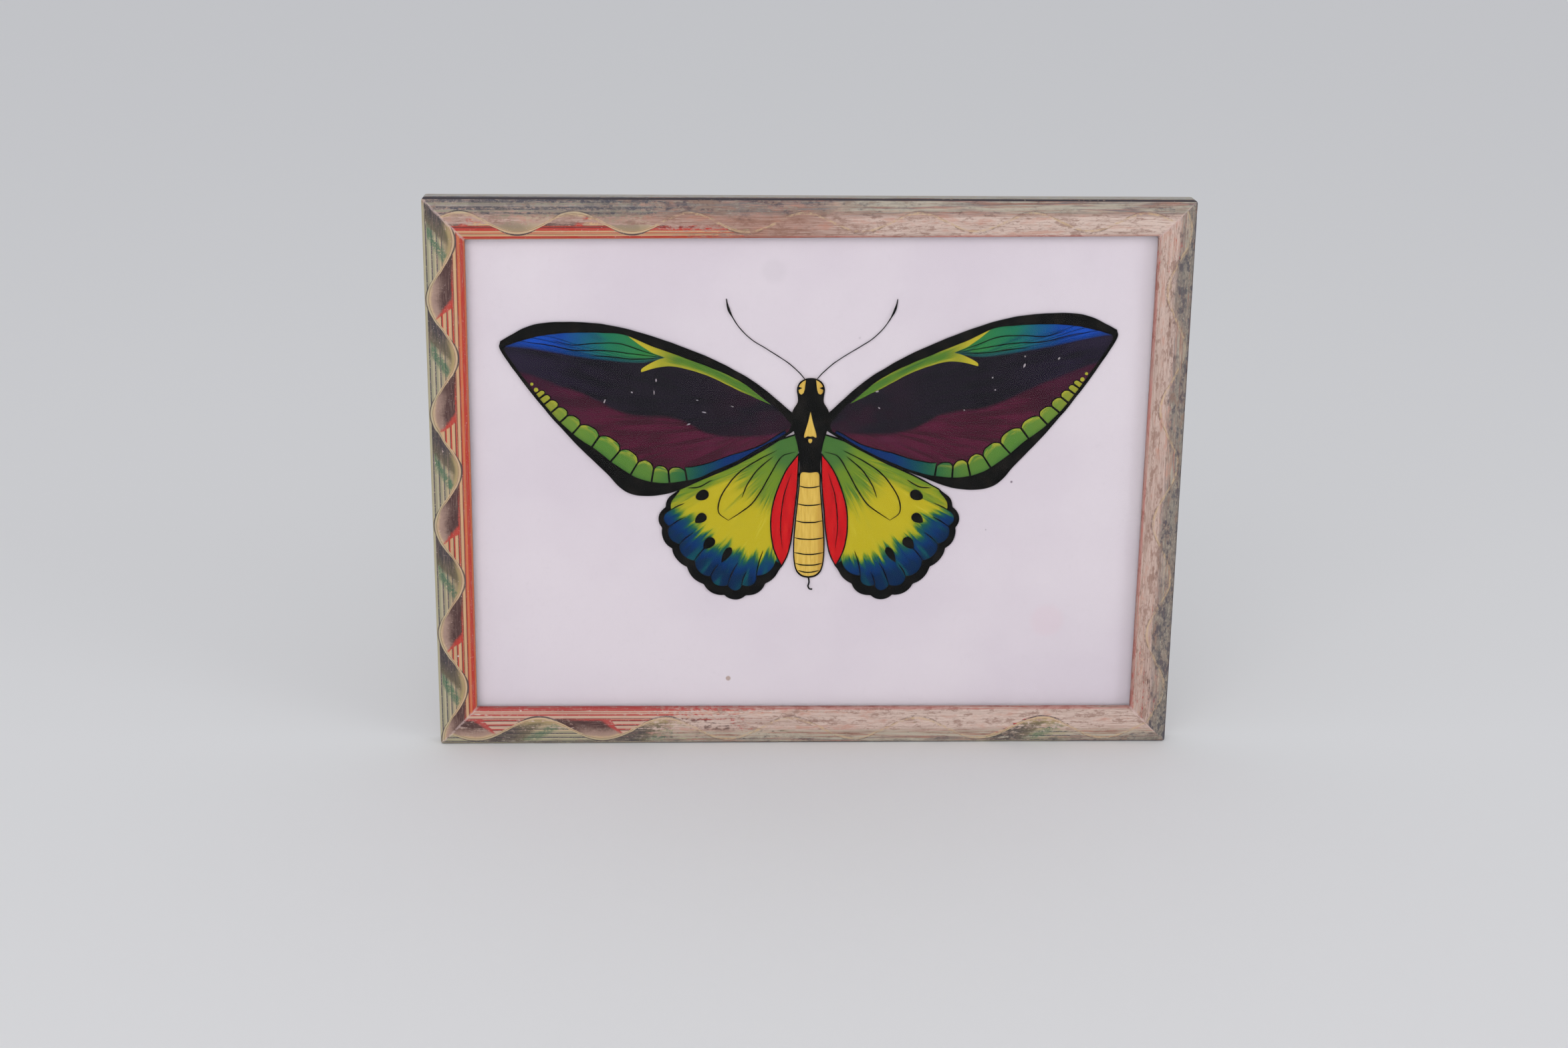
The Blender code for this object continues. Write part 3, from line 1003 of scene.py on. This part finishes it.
def flow(points, step=butterfly["step"]):
    # a smooth line through the points, cut in even short steps
    ends = [tuple(2 * a - b for a, b in zip(points[0], points[1]))] + list(points)
    ends.append(tuple(2 * a - b for a, b in zip(points[-1], points[-2])))
    line = []
    for before, start, stop, after in zip(ends, ends[1:], ends[2:], ends[3:]):
        pieces = max(2, round(math.dist(start, stop) / step))
        for piece in range(pieces):
            t = piece / pieces
            line.append(tuple(
                0.5 * (2 * b + (c - a) * t + (2 * a - 5 * b + 4 * c - d) * t ** 2
                       + (3 * b - a - 3 * c + d) * t ** 3)
                for a, b, c, d in zip(before, start, stop, after)))
    return line + [tuple(points[-1])]


def ring(arcs):
    # a closed outline of smooth arcs that meet at corners
    line = []
    for arc in arcs:
        line += flow(arc)[:-1]
    return line


def half(points):
    # a shape that is alike on both sides, from its right half
    right = flow(points)
    return right + [(-x, z) for x, z in reversed(right) if abs(x) > 0.05]


def shaken(line, seed, amount=butterfly["handShake"]):
    # the small tremor of a hand-drawn edge
    moved = []
    for x, z in line:
        tremor = noise.noise_vector((x * 0.22 + seed, z * 0.22, seed * 1.7))
        moved.append((x + tremor.x * amount, z + tremor.y * amount))
    return moved


def inset(line, amount):
    # a closed outline, moved inwards
    turn = math.copysign(1, sum(x0 * z1 - x1 * z0 for (x0, z0), (x1, z1) in zip(line, line[1:] + line[:1])))
    moved = []
    for before, here, after in zip(line[-1:] + line[:-1], line, line[1:] + line[:1]):
        run = Vector((after[0] - before[0], after[1] - before[1])).normalized() * turn * amount
        moved.append((here[0] - run.y, here[1] + run.x))
    return moved


def atSide(line, side, turned=False):
    # from the butterfly's own half to the frame: side is 1 on the right and -1 on the left
    rootX, rootZ = butterfly["wingRoot"]
    angle = math.radians(butterfly["foreTurn"]) * side if turned else 0.0
    placed = []
    for x, z in line:
        overX, overZ = x - rootX, z - rootZ
        x = rootX + overX * math.cos(angle) - overZ * math.sin(angle)
        z = rootZ + overX * math.sin(angle) + overZ * math.cos(angle)
        placed.append((butterfly["axis"] + side * x, z))
    return placed


def bothSides(line, turned=False):
    return [atSide(line, side, turned) for side in (-1, 1)]


def slab(name, points, faces, level, finish, attributes=None):
    # a film of paint with its front at this level above the back, from a flat sheet of faces
    front = backPlane - butterfly["heights"][level] * mm
    back = front + butterfly["filmDepth"] * mm
    used = sorted({i for face in faces for i in face})
    place = {old: new for new, old in enumerate(used)}
    faces = [[place[i] for i in face] for face in faces]
    count = len(used)
    corners = [(points[i][0] * mm, y, points[i][1] * mm) for y in (front, back) for i in used]
    sides = {side for face in faces for side in zip(face, face[1:] + face[:1])}
    walls = [(stop, start, start + count, stop + count)
             for start, stop in sorted(sides) if (stop, start) not in sides]
    faces += [[i + count for i in reversed(face)] for face in faces] + walls
    data = plainMesh(name, corners, (), faces)
    for key, values in (attributes or {}).items():
        layer = data.attributes.new(key, "FLOAT", "POINT")
        layer.data.foreach_set("value", [values[i] for i in used] * 2)
    data.materials.append(finish)
    return settle(name, data)


class Outline:
    # a closed line that tells which points are inside it
    def __init__(self, line):
        self.sides = list(zip(line, line[1:] + line[:1]))
        self.left, self.right = min(x for x, _ in line), max(x for x, _ in line)
        self.low, self.high = min(z for _, z in line), max(z for _, z in line)

    def holds(self, x, z):
        if not (self.left < x < self.right and self.low < z < self.high):
            return False
        crossings = 0
        for (x0, z0), (x1, z1) in self.sides:
            if (z0 > z) != (z1 > z) and x < x0 + (x1 - x0) * (z - z0) / (z1 - z0):
                crossings += 1
        return crossings % 2 == 1


def film(name, filled, holes, level, finish):
    # a film that fills every outline in the first list and leaves out those in the second
    points, edges = [], []
    for outline in filled + holes:
        first, count = len(points), len(outline)
        points += [Vector(point) for point in outline]
        edges += [(first + i, first + (i + 1) % count) for i in range(count)]
    corners, _, faces, _, _, _ = delaunay_2d_cdt(points, edges, [], 0, 1e-4)
    filled, holes = [Outline(line) for line in filled], [Outline(line) for line in holes]
    kept = []
    for face in faces:
        x, z = sum((corners[i] for i in face), Vector((0, 0))) / len(face)
        if any(outline.holds(x, z) for outline in filled) and not any(hole.holds(x, z) for hole in holes):
            kept.append(list(face))
    made = slab(name, [tuple(corner) for corner in corners], kept, level, finish)
    print(name, "has", len(made.data.polygons), "faces")
    return made


# Brush lines: a path swept with a flattened round, thick in the middle and thin at its ends

def brushShaper():
    shaper = Shaper("brushLine", {
        "Width Wobble": "Float", "Path Wobble": "Float", "Flatness": "Float", "Plane": "Float",
        "Seed": "Float", "Sides": "Int", "Material": "Material",
    })
    given = shaper.given
    path = shaper.add("GeometryNodeMeshToCurve", None, {0: given("Geometry")})
    place = shaper.add("GeometryNodeInputPosition")
    seeded = shaper.vector("ADD", place, shaper.join(given("Seed"), 0, given("Seed")))
    swell = 1 + (shaper.grain(seeded, 420, 2) - 0.5) * given("Width Wobble")
    apart = shaper.vector("ADD", seeded, (3.0, 0.0, 5.0))
    shiftX, shiftZ = ((shaper.grain(spot, 190, 2) - 0.5) * given("Path Wobble") for spot in (seeded, apart))
    path = shaper.add("GeometryNodeSetPosition", None,
                      {"Geometry": path, "Offset": shaper.join(shiftX, 0, shiftZ)})
    tip = shaper.add("GeometryNodeCurvePrimitiveCircle", None,
                     {"Resolution": given("Sides"), "Radius": 1.0})
    width = shaper.named("brushRadius") * swell
    body = shaper.add("GeometryNodeCurveToMesh", None,
                      {"Curve": path, "Profile Curve": tip, "Scale": width, "Fill Caps": True})
    x, y, z = shaper.split(place)
    level = given("Plane") + (y - given("Plane")) * given("Flatness")
    flat = shaper.add("GeometryNodeSetPosition", None,
                      {"Geometry": body, "Position": shaper.join(x, level, z)})
    shaper.end(flat, given("Material"))
    return shaper


def stroke(line, width, taper=0.35):
    # points of a brush line with the half width at each, which tapers over this share of both ends
    last = len(line) - 1
    halves = []
    for i in range(last + 1):
        nearest = min(i, last - i) / max(1, last)
        share = min(1.0, nearest / taper) if taper else 1.0
        halves.append(width / 2 * (0.28 + 0.72 * share ** 0.7))
    return line, halves


def makeBrushLines(name, strokes, level, finish, seed):
    front = backPlane - (butterfly["heights"][level] - butterfly["filmDepth"] / 2) * mm
    points, edges, radii = [], [], []
    for line, halves in strokes:
        first = len(points)
        points += [(x * mm, front, z * mm) for x, z in line]
        radii += [width * mm for width in halves]
        edges += [(i, i + 1) for i in range(first, len(points) - 1)]
    host = newObject(name + "Host", plainMesh(name + "Host", points, edges))
    layer = host.data.attributes.new("brushRadius", "FLOAT", "POINT")
    layer.data.foreach_set("value", radii)
    data = brushShaper().run(host, {
        "Width Wobble": 0.7, "Path Wobble": 0.3 * mm, "Flatness": 0.09, "Plane": front, "Seed": seed,
        "Sides": 8, "Material": finish,
    })
    bpy.data.objects.remove(host)
    made = settle(name, data)
    print(name, "has", len(made.data.polygons), "faces in", len(strokes), "strokes")
    return made


# Paints of the picture

def paint(name):
    finish = Finish(name, Roughness=0.5)
    finish.set("Specular IOR Level", 0.0)
    return finish


def wingSpace(finish, turned):
    # distance out from the butterfly's axis and height in mm, as they were before the forewings were turned
    x, _, z = finish.split(finish.spot)
    over = x * perMetre - butterfly["axis"]
    side = finish.math("SIGN", over)
    out = over.size()
    height = z * perMetre
    if turned:
        lean = math.tan(math.radians(butterfly["foreTurn"]))
        height = height - side * (out - butterfly["wingRoot"][0]) * lean
    return out, height, side


def profile(finish, value, points, reach=wingReach):
    # a smooth curve through the points, as a number that changes with value
    (low, high), (bottom, top) = reach
    placed = [((x - low) / (high - low), (y - bottom) / (top - bottom)) for x, y in points]
    share = finish.add("ShaderNodeFloatCurve", {"points": placed},
                       {"Factor": 1.0, "Value": (value - low) / (high - low)})
    return share * (top - bottom) + bottom


def inkFinish():
    finish = paint("blackInk")
    cloud = finish.grain(finish.spot, 130, 3)
    finish.set("Base Color", finish.blend(tint(13, 13, 13), tint(28, 25, 23), cloud.rise(0.45, 0.7)))
    return finish.material


def foreFinish():
    finish = paint("duskyWingPaint")
    out, height, side = wingSpace(finish, True)
    rootX, rootZ = butterfly["wingRoot"]
    angle = finish.math("ARCTAN2", height - rootZ, out - rootX)
    reach = finish.reach(out - rootX, height - rootZ)
    brush = finish.grain(finish.join(angle * 26, reach * 0.035, side * 3), 1.0, 4, 0.6)
    cloud = finish.grain(finish.join(out * 0.05, height * 0.09, side * 5), 1.0, 3, 0.5)
    dusk = finish.over(
        tint(34, 29, 38), (tint(40, 33, 50), out.rise(85, 140)),
        (tint(25, 24, 29), brush.rise(0.42, 0.66) * 0.8),
        (tint(50, 29, 42), out.fall(16, 60) * cloud.rise(0.35, 0.6) * 0.7))
    wine = finish.over(
        tint(62, 28, 40), (tint(84, 31, 52), brush.rise(0.38, 0.62)),
        (tint(54, 29, 46), out.rise(96, 132) * 0.6),
        (tint(104, 42, 74), out.fall(20, 60) * cloud.rise(0.45, 0.65) * 0.6))
    edge = profile(finish, out, [(8, 160), (24.8, 156.4), (48.7, 158.4), (63.7, 165.8), (84.4, 168.2),
                                 (110, 179.7), (136.6, 189.5), (150, 194)])
    colour = finish.blend(wine, dusk, (height - edge + (cloud - 0.5) * 3).rise(-1.3, 1.3))

    # the blue and green leaf under the leading edge, with the dark veins that fan out over it
    low = profile(finish, out, [(60, 197.5), (70, 195.6), (80, 193.8), (98, 195.6), (111, 197.6),
                                (123, 200.0), (134, 202.0), (150, 203.4)])
    ramp = [(0.0, tint(78, 136, 58)), (0.16, tint(52, 122, 62)), (0.4, tint(34, 110, 84)),
            (0.56, tint(26, 84, 124)), (0.7, tint(22, 64, 150)), (0.84, tint(24, 74, 178)),
            (1.0, tint(30, 60, 140))]
    leaf = finish.add("ShaderNodeValToRGB", {"stops": ramp}, {0: (out - 66) / 76 + (brush - 0.5) * 0.16})
    leaf = finish.over(leaf, (tint(20, 52, 74), brush.rise(0.52, 0.7) * 0.55),
                       (tint(20, 44, 92), (height - low).fall(0.5, 3.2) * 0.6))
    fan = (height - low) / ((out - 62) * 0.14)
    for vein in (0.3, 0.55, 0.8):
        mark = (fan + (cloud - 0.5) * 0.3).stripe(vein, 0.022, 0.02)
        leaf = finish.blend(leaf, tint(16, 30, 34), mark * 0.8)
    over = (height - low + (brush - 0.5) * 1.8).rise(-0.7, 0.7) * out.rise(66, 69)
    finish.set("Base Color", finish.blend(colour, leaf, over))
    return finish.material


def forkFinish():
    finish = paint("greenForkPaint")
    out, height, side = wingSpace(finish, True)
    brush = finish.grain(finish.join(out * 0.05, height * 1.1 - out * 0.5, side), 1.0, 3, 0.6)
    centre = profile(finish, out, [(19, 172.2), (34, 181.8), (50, 190.2), (60, 193.8), (69, 196.2),
                                   (90, 203)])
    rim = (height - centre).size()
    gilt = rim.rise(1.6, 2.8) * 0.6
    finish.set("Base Color", finish.over(
        tint(72, 114, 44), (tint(106, 132, 44), brush.rise(0.35, 0.6)),
        (tint(50, 98, 48), rim.fall(0.3, 1.6) * brush.rise(0.42, 0.62) * 0.85),
        (tint(184, 168, 50), gilt.most(out.rise(62, 78)))))
    return finish.material


def cellFinish():
    finish = paint("greenCellPaint")
    out, _, side = wingSpace(finish, True)
    rim = finish.named("rim")
    brush = finish.grain(finish.join(out * 0.16, rim * 5, side * 2), 1.0, 3, 0.6)
    ramp = [(0.05, tint(22, 30, 58)), (0.15, tint(18, 42, 98)), (0.27, tint(18, 50, 104)),
            (0.35, tint(22, 72, 80)), (0.41, tint(46, 100, 60)), (0.5, tint(88, 124, 52)),
            (0.66, tint(86, 128, 54)), (0.78, tint(108, 136, 54)), (0.86, tint(160, 152, 50)),
            (1.0, tint(180, 168, 56))]
    colour = finish.add("ShaderNodeValToRGB", {"stops": ramp}, {0: out / 150 + (brush - 0.5) * 0.05})
    pale = rim.rise(0.6, 0.95) * out.rise(58, 70) * brush.rise(0.4, 0.55)
    finish.set("Base Color", finish.over(
        colour, (tint(172, 166, 56), pale * 0.85),
        (tint(44, 88, 46), rim.fall(0.0, 0.35) * out.rise(60, 80) * 0.5),
        (tint(20, 44, 92), rim.fall(0.1, 0.6) * out.fall(30, 56) * 0.5)))
    return finish.material


def hindFinish():
    finish = paint("yellowBluePaint")
    out, height, side = wingSpace(finish, False)
    overX, overZ = out - 8, height - 150
    angle = finish.math("ARCTAN2", overZ, overX)
    reach = finish.reach(overX, overZ)
    brush = finish.grain(finish.join(angle * 15, reach * 0.03, side * 4), 1.0, 4, 0.62)
    fine = finish.grain(finish.join(angle * 44, reach * 0.06, side), 1.0, 3, 0.6)

    # how far out the yellow reaches at each angle, and how it turns to blue there
    limit = profile(finish, angle, [(-1.6, 52), (-1.3, 57), (-1.05, 59), (-0.85, 60), (-0.68, 60),
                                    (-0.56, 61), (-0.46, 67), (-0.36, 74), (0, 84)], ((-1.6, 0), (0, 100)))
    share = (reach - limit + (brush - 0.5) * 22 + (fine - 0.5) * 12) / 16 + 0.3
    ramp = [(0.0, tint(186, 168, 36)), (0.16, tint(178, 166, 38)), (0.32, tint(100, 132, 44)),
            (0.44, tint(34, 92, 66)), (0.58, tint(18, 66, 92)), (0.76, tint(15, 50, 104)),
            (1.0, tint(14, 40, 74))]
    colour = finish.add("ShaderNodeValToRGB", {"stops": ramp}, {0: share})
    yellow = share.fall(0.1, 0.3)
    leafy = reach.fall(12, 50).most(angle.rise(-0.66, -0.34) * 0.8)
    leafy = (leafy + (brush - 0.5) * 1.5 + (fine - 0.5) * 0.7).rise(0.2, 0.85)
    finish.set("Base Color", finish.over(
        colour, (tint(110, 136, 42), (leafy * yellow).least(1)),
        (tint(54, 100, 48), fine.rise(0.5, 0.68) * yellow * leafy * 0.7),
        (tint(48, 100, 58), reach.fall(7, 16) * 0.7),
        (tint(204, 190, 60), fine.rise(0.54, 0.7) * yellow * (1 - leafy) * 0.6),
        (tint(24, 92, 96), brush.rise(0.5, 0.65) * share.rise(0.6, 0.9) * 0.6)))
    return finish.material


def lobeFinish():
    finish = paint("redLobePaint")
    out, height, side = wingSpace(finish, False)
    brush = finish.grain(finish.join(out * 0.9, height * 0.07, side), 1.0, 3, 0.6)
    finish.set("Base Color", finish.over(
        tint(200, 26, 30), (tint(168, 20, 26), brush.rise(0.45, 0.68) * 0.8),
        (tint(212, 58, 40), brush.fall(0.3, 0.42) * 0.5)))
    return finish.material


def bodyFinish():
    finish = paint("ochreBodyPaint")
    x, _, z = finish.split(finish.spot)
    across = x * perMetre - butterfly["axis"]
    brush = finish.grain(finish.join(across * 0.9, z * 90, 2), 1.0, 3, 0.6)
    finish.set("Base Color", finish.over(
        tint(222, 186, 92), (tint(208, 168, 76), brush.rise(0.35, 0.65)),
        (tint(176, 126, 52), across.rise(2.0, 7.0) * 0.7)))
    return finish.material


def steps(pairs, place):
    # a value on the straight lines between the pairs
    for (x0, y0), (x1, y1) in zip(pairs, pairs[1:]):
        if place <= x1:
            return y0 + (y1 - y0) * (place - x0) / (x1 - x0)
    return pairs[-1][1]


def hindOutlines():
    # the scalloped margin and the inside of its black border, and the middle of each scallop's arm
    margin = flow(hindEdge["margin"], 0.5)
    count = len(margin) - 1
    outer, inner, arms = [], [], []
    for i, (x, z) in enumerate(margin):
        before, after = margin[max(0, i - 1)], margin[min(count, i + 1)]
        run = Vector((after[0] - before[0], after[1] - before[1])).normalized()
        away = Vector((-run.y, run.x))
        share = i / count
        beat = abs(math.sin(math.pi * hindMargin["scallops"] * share))
        ends = min(1.0, share / 0.06, (1 - share) / 0.05)
        bump = hindMargin["bump"] * (beat ** 0.75 - 0.55) * ends
        arch = hindMargin["arch"] * (0.6 - beat ** 0.7) * min(1, share / 0.12)
        depth = steps(hindMargin["border"], share) + arch
        outer.append((x + away.x * bump, z + away.y * bump))
        inner.append((x - away.x * depth, z - away.y * depth))
    for scallop in range(1, hindMargin["scallops"]):
        arms.append(inner[round(count * scallop / hindMargin["scallops"])])
    return outer, inner, arms


def drop(middle, width, length, pull, toward):
    # a spot that is drawn out to a point, which points away from the wing's root
    aim = Vector((middle[0] - toward[0], middle[1] - toward[1])).normalized()
    side = Vector((-aim.y, aim.x))
    line = []
    for i in range(28):
        turn = math.tau * i / 28
        ahead = math.cos(turn) * length / 2
        wide = math.sin(turn) * width / 2 * (1 - pull * (0.5 + 0.5 * math.cos(turn)) ** 1.4)
        line.append((middle[0] + aim.x * ahead + side.x * wide, middle[1] + aim.y * ahead + side.y * wide))
    return line


def flakeHoles():
    # small places where the paint has come off, and the paper shows
    draw = random.Random(butterfly["flakeSeed"])
    holes = []
    for side in (-1, 1):
        for _ in range(butterfly["flakes"]):
            out = draw.uniform(30, 128)
            low, high = 152 + (out - 30) * 0.33, 180 + (out - 30) * 0.2
            z = draw.uniform(low, high)
            long, wide = draw.uniform(0.3, 1.5), draw.uniform(0.2, 0.6)
            tilt = draw.uniform(0, math.pi)
            along, across = math.cos(tilt), math.sin(tilt)
            spot = []
            for i in range(9):
                turn = math.tau * i / 9
                reach = draw.uniform(0.55, 1.0)
                a, b = math.cos(turn) * long * reach, math.sin(turn) * wide * reach
                spot.append((out + a * along - b * across, z + a * across + b * along))
            holes.append(atSide(spot, side, True))
    return holes


def cellSheet():
    # the row of cells along the outer edge of each forewing, and the blue streak that runs on to the root
    path = flow(foreWindow[1], 0.4)
    lengths = [0.0]
    for start, stop in zip(path, path[1:]):
        lengths.append(lengths[-1] + math.dist(start, stop))

    def at(distance):
        i = next((k for k in range(1, len(lengths)) if lengths[k] >= distance), len(lengths) - 1)
        share = (distance - lengths[i - 1]) / (lengths[i] - lengths[i - 1])
        (x0, z0), (x1, z1) = path[i - 1], path[i]
        run = Vector((x1 - x0, z1 - z0)).normalized()
        return Vector((x0 + (x1 - x0) * share, z0 + (z1 - z0) * share)), Vector((run.y, -run.x))

    points, faces, rims, outlines = [], [], [], []
    rows = 5

    def block(start, stop, columns, scallop):
        first = len(points)
        for column in range(columns + 1):
            t = column / columns
            here = start + (stop - start) * t
            base, inward = at(here)
            depth = steps(foreCells["depths"], here) * (1 - scallop * abs(2 * t - 1) ** 3)
            for row in range(rows + 1):
                share = row / rows
                into = share * (depth + foreCells["tuck"]) - foreCells["tuck"]
                points.append(tuple(base + inward * into))
                rims.append(share)
        top = points[first + rows::rows + 1]
        outlines.append(points[first:first + rows] + top + points[-rows - 1:-1][::-1])
        for column in range(columns):
            for row in range(rows):
                a = first + column * (rows + 1) + row
                faces.append([a, a + 1, a + rows + 2, a + rows + 1])

    distance = foreCells["firstAt"]
    for width in foreCells["widths"]:
        block(distance + foreCells["gap"] / 2, distance + width - foreCells["gap"] / 2, 12, 0.26)
        distance += width
    block(distance + foreCells["gap"] / 2, lengths[-1] - 2, 60, 0.0)
    turns = [math.tau * i / 14 for i in range(14)]
    for x, z, radius in foreCells["dots"]:
        faces.append(list(range(len(points), len(points) + len(turns))))
        points.extend((x + radius * math.cos(turn), z + radius * math.sin(turn)) for turn in turns)
        rims.extend([1.0] * len(turns))
    sheet, sheetFaces, sheetRims = [], [], []
    for side in (-1, 1):
        first = len(sheet)
        sheet += atSide(points, side, True)
        sheetRims += rims
        for face in faces:
            (ax, az), (bx, bz), (cx, cz) = (sheet[first + i] for i in face[:3])
            up = (bx - ax) * (cz - bz) - (bz - az) * (cx - bx) > 0
            sheetFaces.append([first + i for i in (face if up else face[::-1])])
    return sheet, sheetFaces, sheetRims, outlines


def makeButterfly():
    noise.seed_set(butterfly["shakeSeed"])  # this noise is otherwise seeded from the clock
    fore = ring(foreEdge)
    outer, inner, arms = hindOutlines()
    upper, closing = flow(hindEdge["upper"]), flow(hindEdge["inner"])
    hindShape = upper[:-1] + outer[:-1] + closing[:-1]
    hindWindow = [(x, z - 0.9) for x, z in upper] + inner[1:] + closing[1:-1]
    body, abdomen = half(bodyHalf), half(abdomenHalf)
    lobe = ring(redLobe)
    flakes = flakeHoles()
    spots = [drop(middle, width, length, pull, (8, 150)) for middle, width, length, pull in hindSpots]

    def everywhere(line, seed, turned=False):
        return bothSides(shaken(line, seed), turned)

    ink = inkFinish()
    filled = everywhere(fore, 1, True) + [atSide(body, 1), atSide(abdomen, 1)]
    holes = everywhere(ring(foreWindow), 2, True) + flakes
    holes += [atSide(half(abdomenWindow), 1), atSide(half(thoraxWedge), 1), atSide(half(thoraxDrop), 1)]
    holes += bothSides(eyePatch)
    film("foreAndBodyInk", filled, holes, "ink", ink)

    hindFilled = everywhere(hindShape, 3)
    film("hindInk", hindFilled, everywhere(hindWindow, 4), "line", ink)
    film("hindSpots", [spot for line in spots for spot in everywhere(line, 5)], [], "ink", ink)
    film("foreGround", bothSides(inset(fore, 0.5), True), flakes, "ground", foreFinish())
    film("forkBand", everywhere(ring(forkBand), 6, True), [], "bright", forkFinish())
    sheet, faces, rims, cellLines = cellSheet()
    slab("foreCells", sheet, faces, "bright", cellFinish(), {"rim": rims})
    film("hindField", bothSides(inset(hindShape, 0.5)), [], "hind", hindFinish())
    film("redLobes", everywhere(lobe, 7), [], "bright", lobeFinish())
    ochre = [atSide(inset(abdomen, 0.3), 1), atSide(inset(body, 0.4), 1)]
    film("bodyOchre", ochre, [], "bright", bodyFinish())

    strokes = []

    def draw(key, line, side=1, turned=False):
        strokes.append(stroke(atSide(line, side, turned), *strokeLooks[key]))

    for side in (-1, 1):
        for line in leafVeins:
            draw("leafVein", flow(line), side, True)
        for line in cellLines:
            draw("cellRim", shaken(line, 9), side, True)
        for line in hindVeins:
            draw("hindVein", flow(line), side)
        for x, z in arms:
            aim = (Vector((10, 148)) - Vector((x, z))).normalized()
            reach = 10 + 3 * math.sin(x * 1.3)
            line = [(x - aim.x, z - aim.y), (x + aim.x * reach * 0.5 + 0.5, z + aim.y * reach * 0.5),
                    (x + aim.x * reach, z + aim.y * reach)]
            draw("arm", flow(line), side)
        draw("lobeRim", lobe + lobe[:1], side)
        draw("lobeVein", flow(lobeVein), side)
        draw("antenna", flow(antenna), side)
        halves = strokes[-1][1]
        for i in range(len(halves)):  # the club at the antenna's end
            left = (len(halves) - 1 - i) / len(halves)
            halves[i] += 0.34 * math.exp(-((left - 0.1) / 0.055) ** 2)
    draw("tail", flow(tailHook))
    for z in bodyRings:
        wide = next(a[0] + (b[0] - a[0]) * (a[1] - z) / (a[1] - b[1])
                    for a, b in zip(abdomenWindow, abdomenWindow[1:]) if b[1] <= z <= a[1])
        arc = [(-wide - 0.4, z + 0.5), (-wide * 0.5, z - 0.3), (0, z - 0.5), (wide * 0.5, z - 0.3),
               (wide + 0.4, z + 0.5)]
        draw("bodyRing", flow(arc))
    makeBrushLines("inkLines", strokes, "line", ink, 2.7)


makeCamera()
makeRoom()
makeRails()
dressSolids()
makeButterfly()
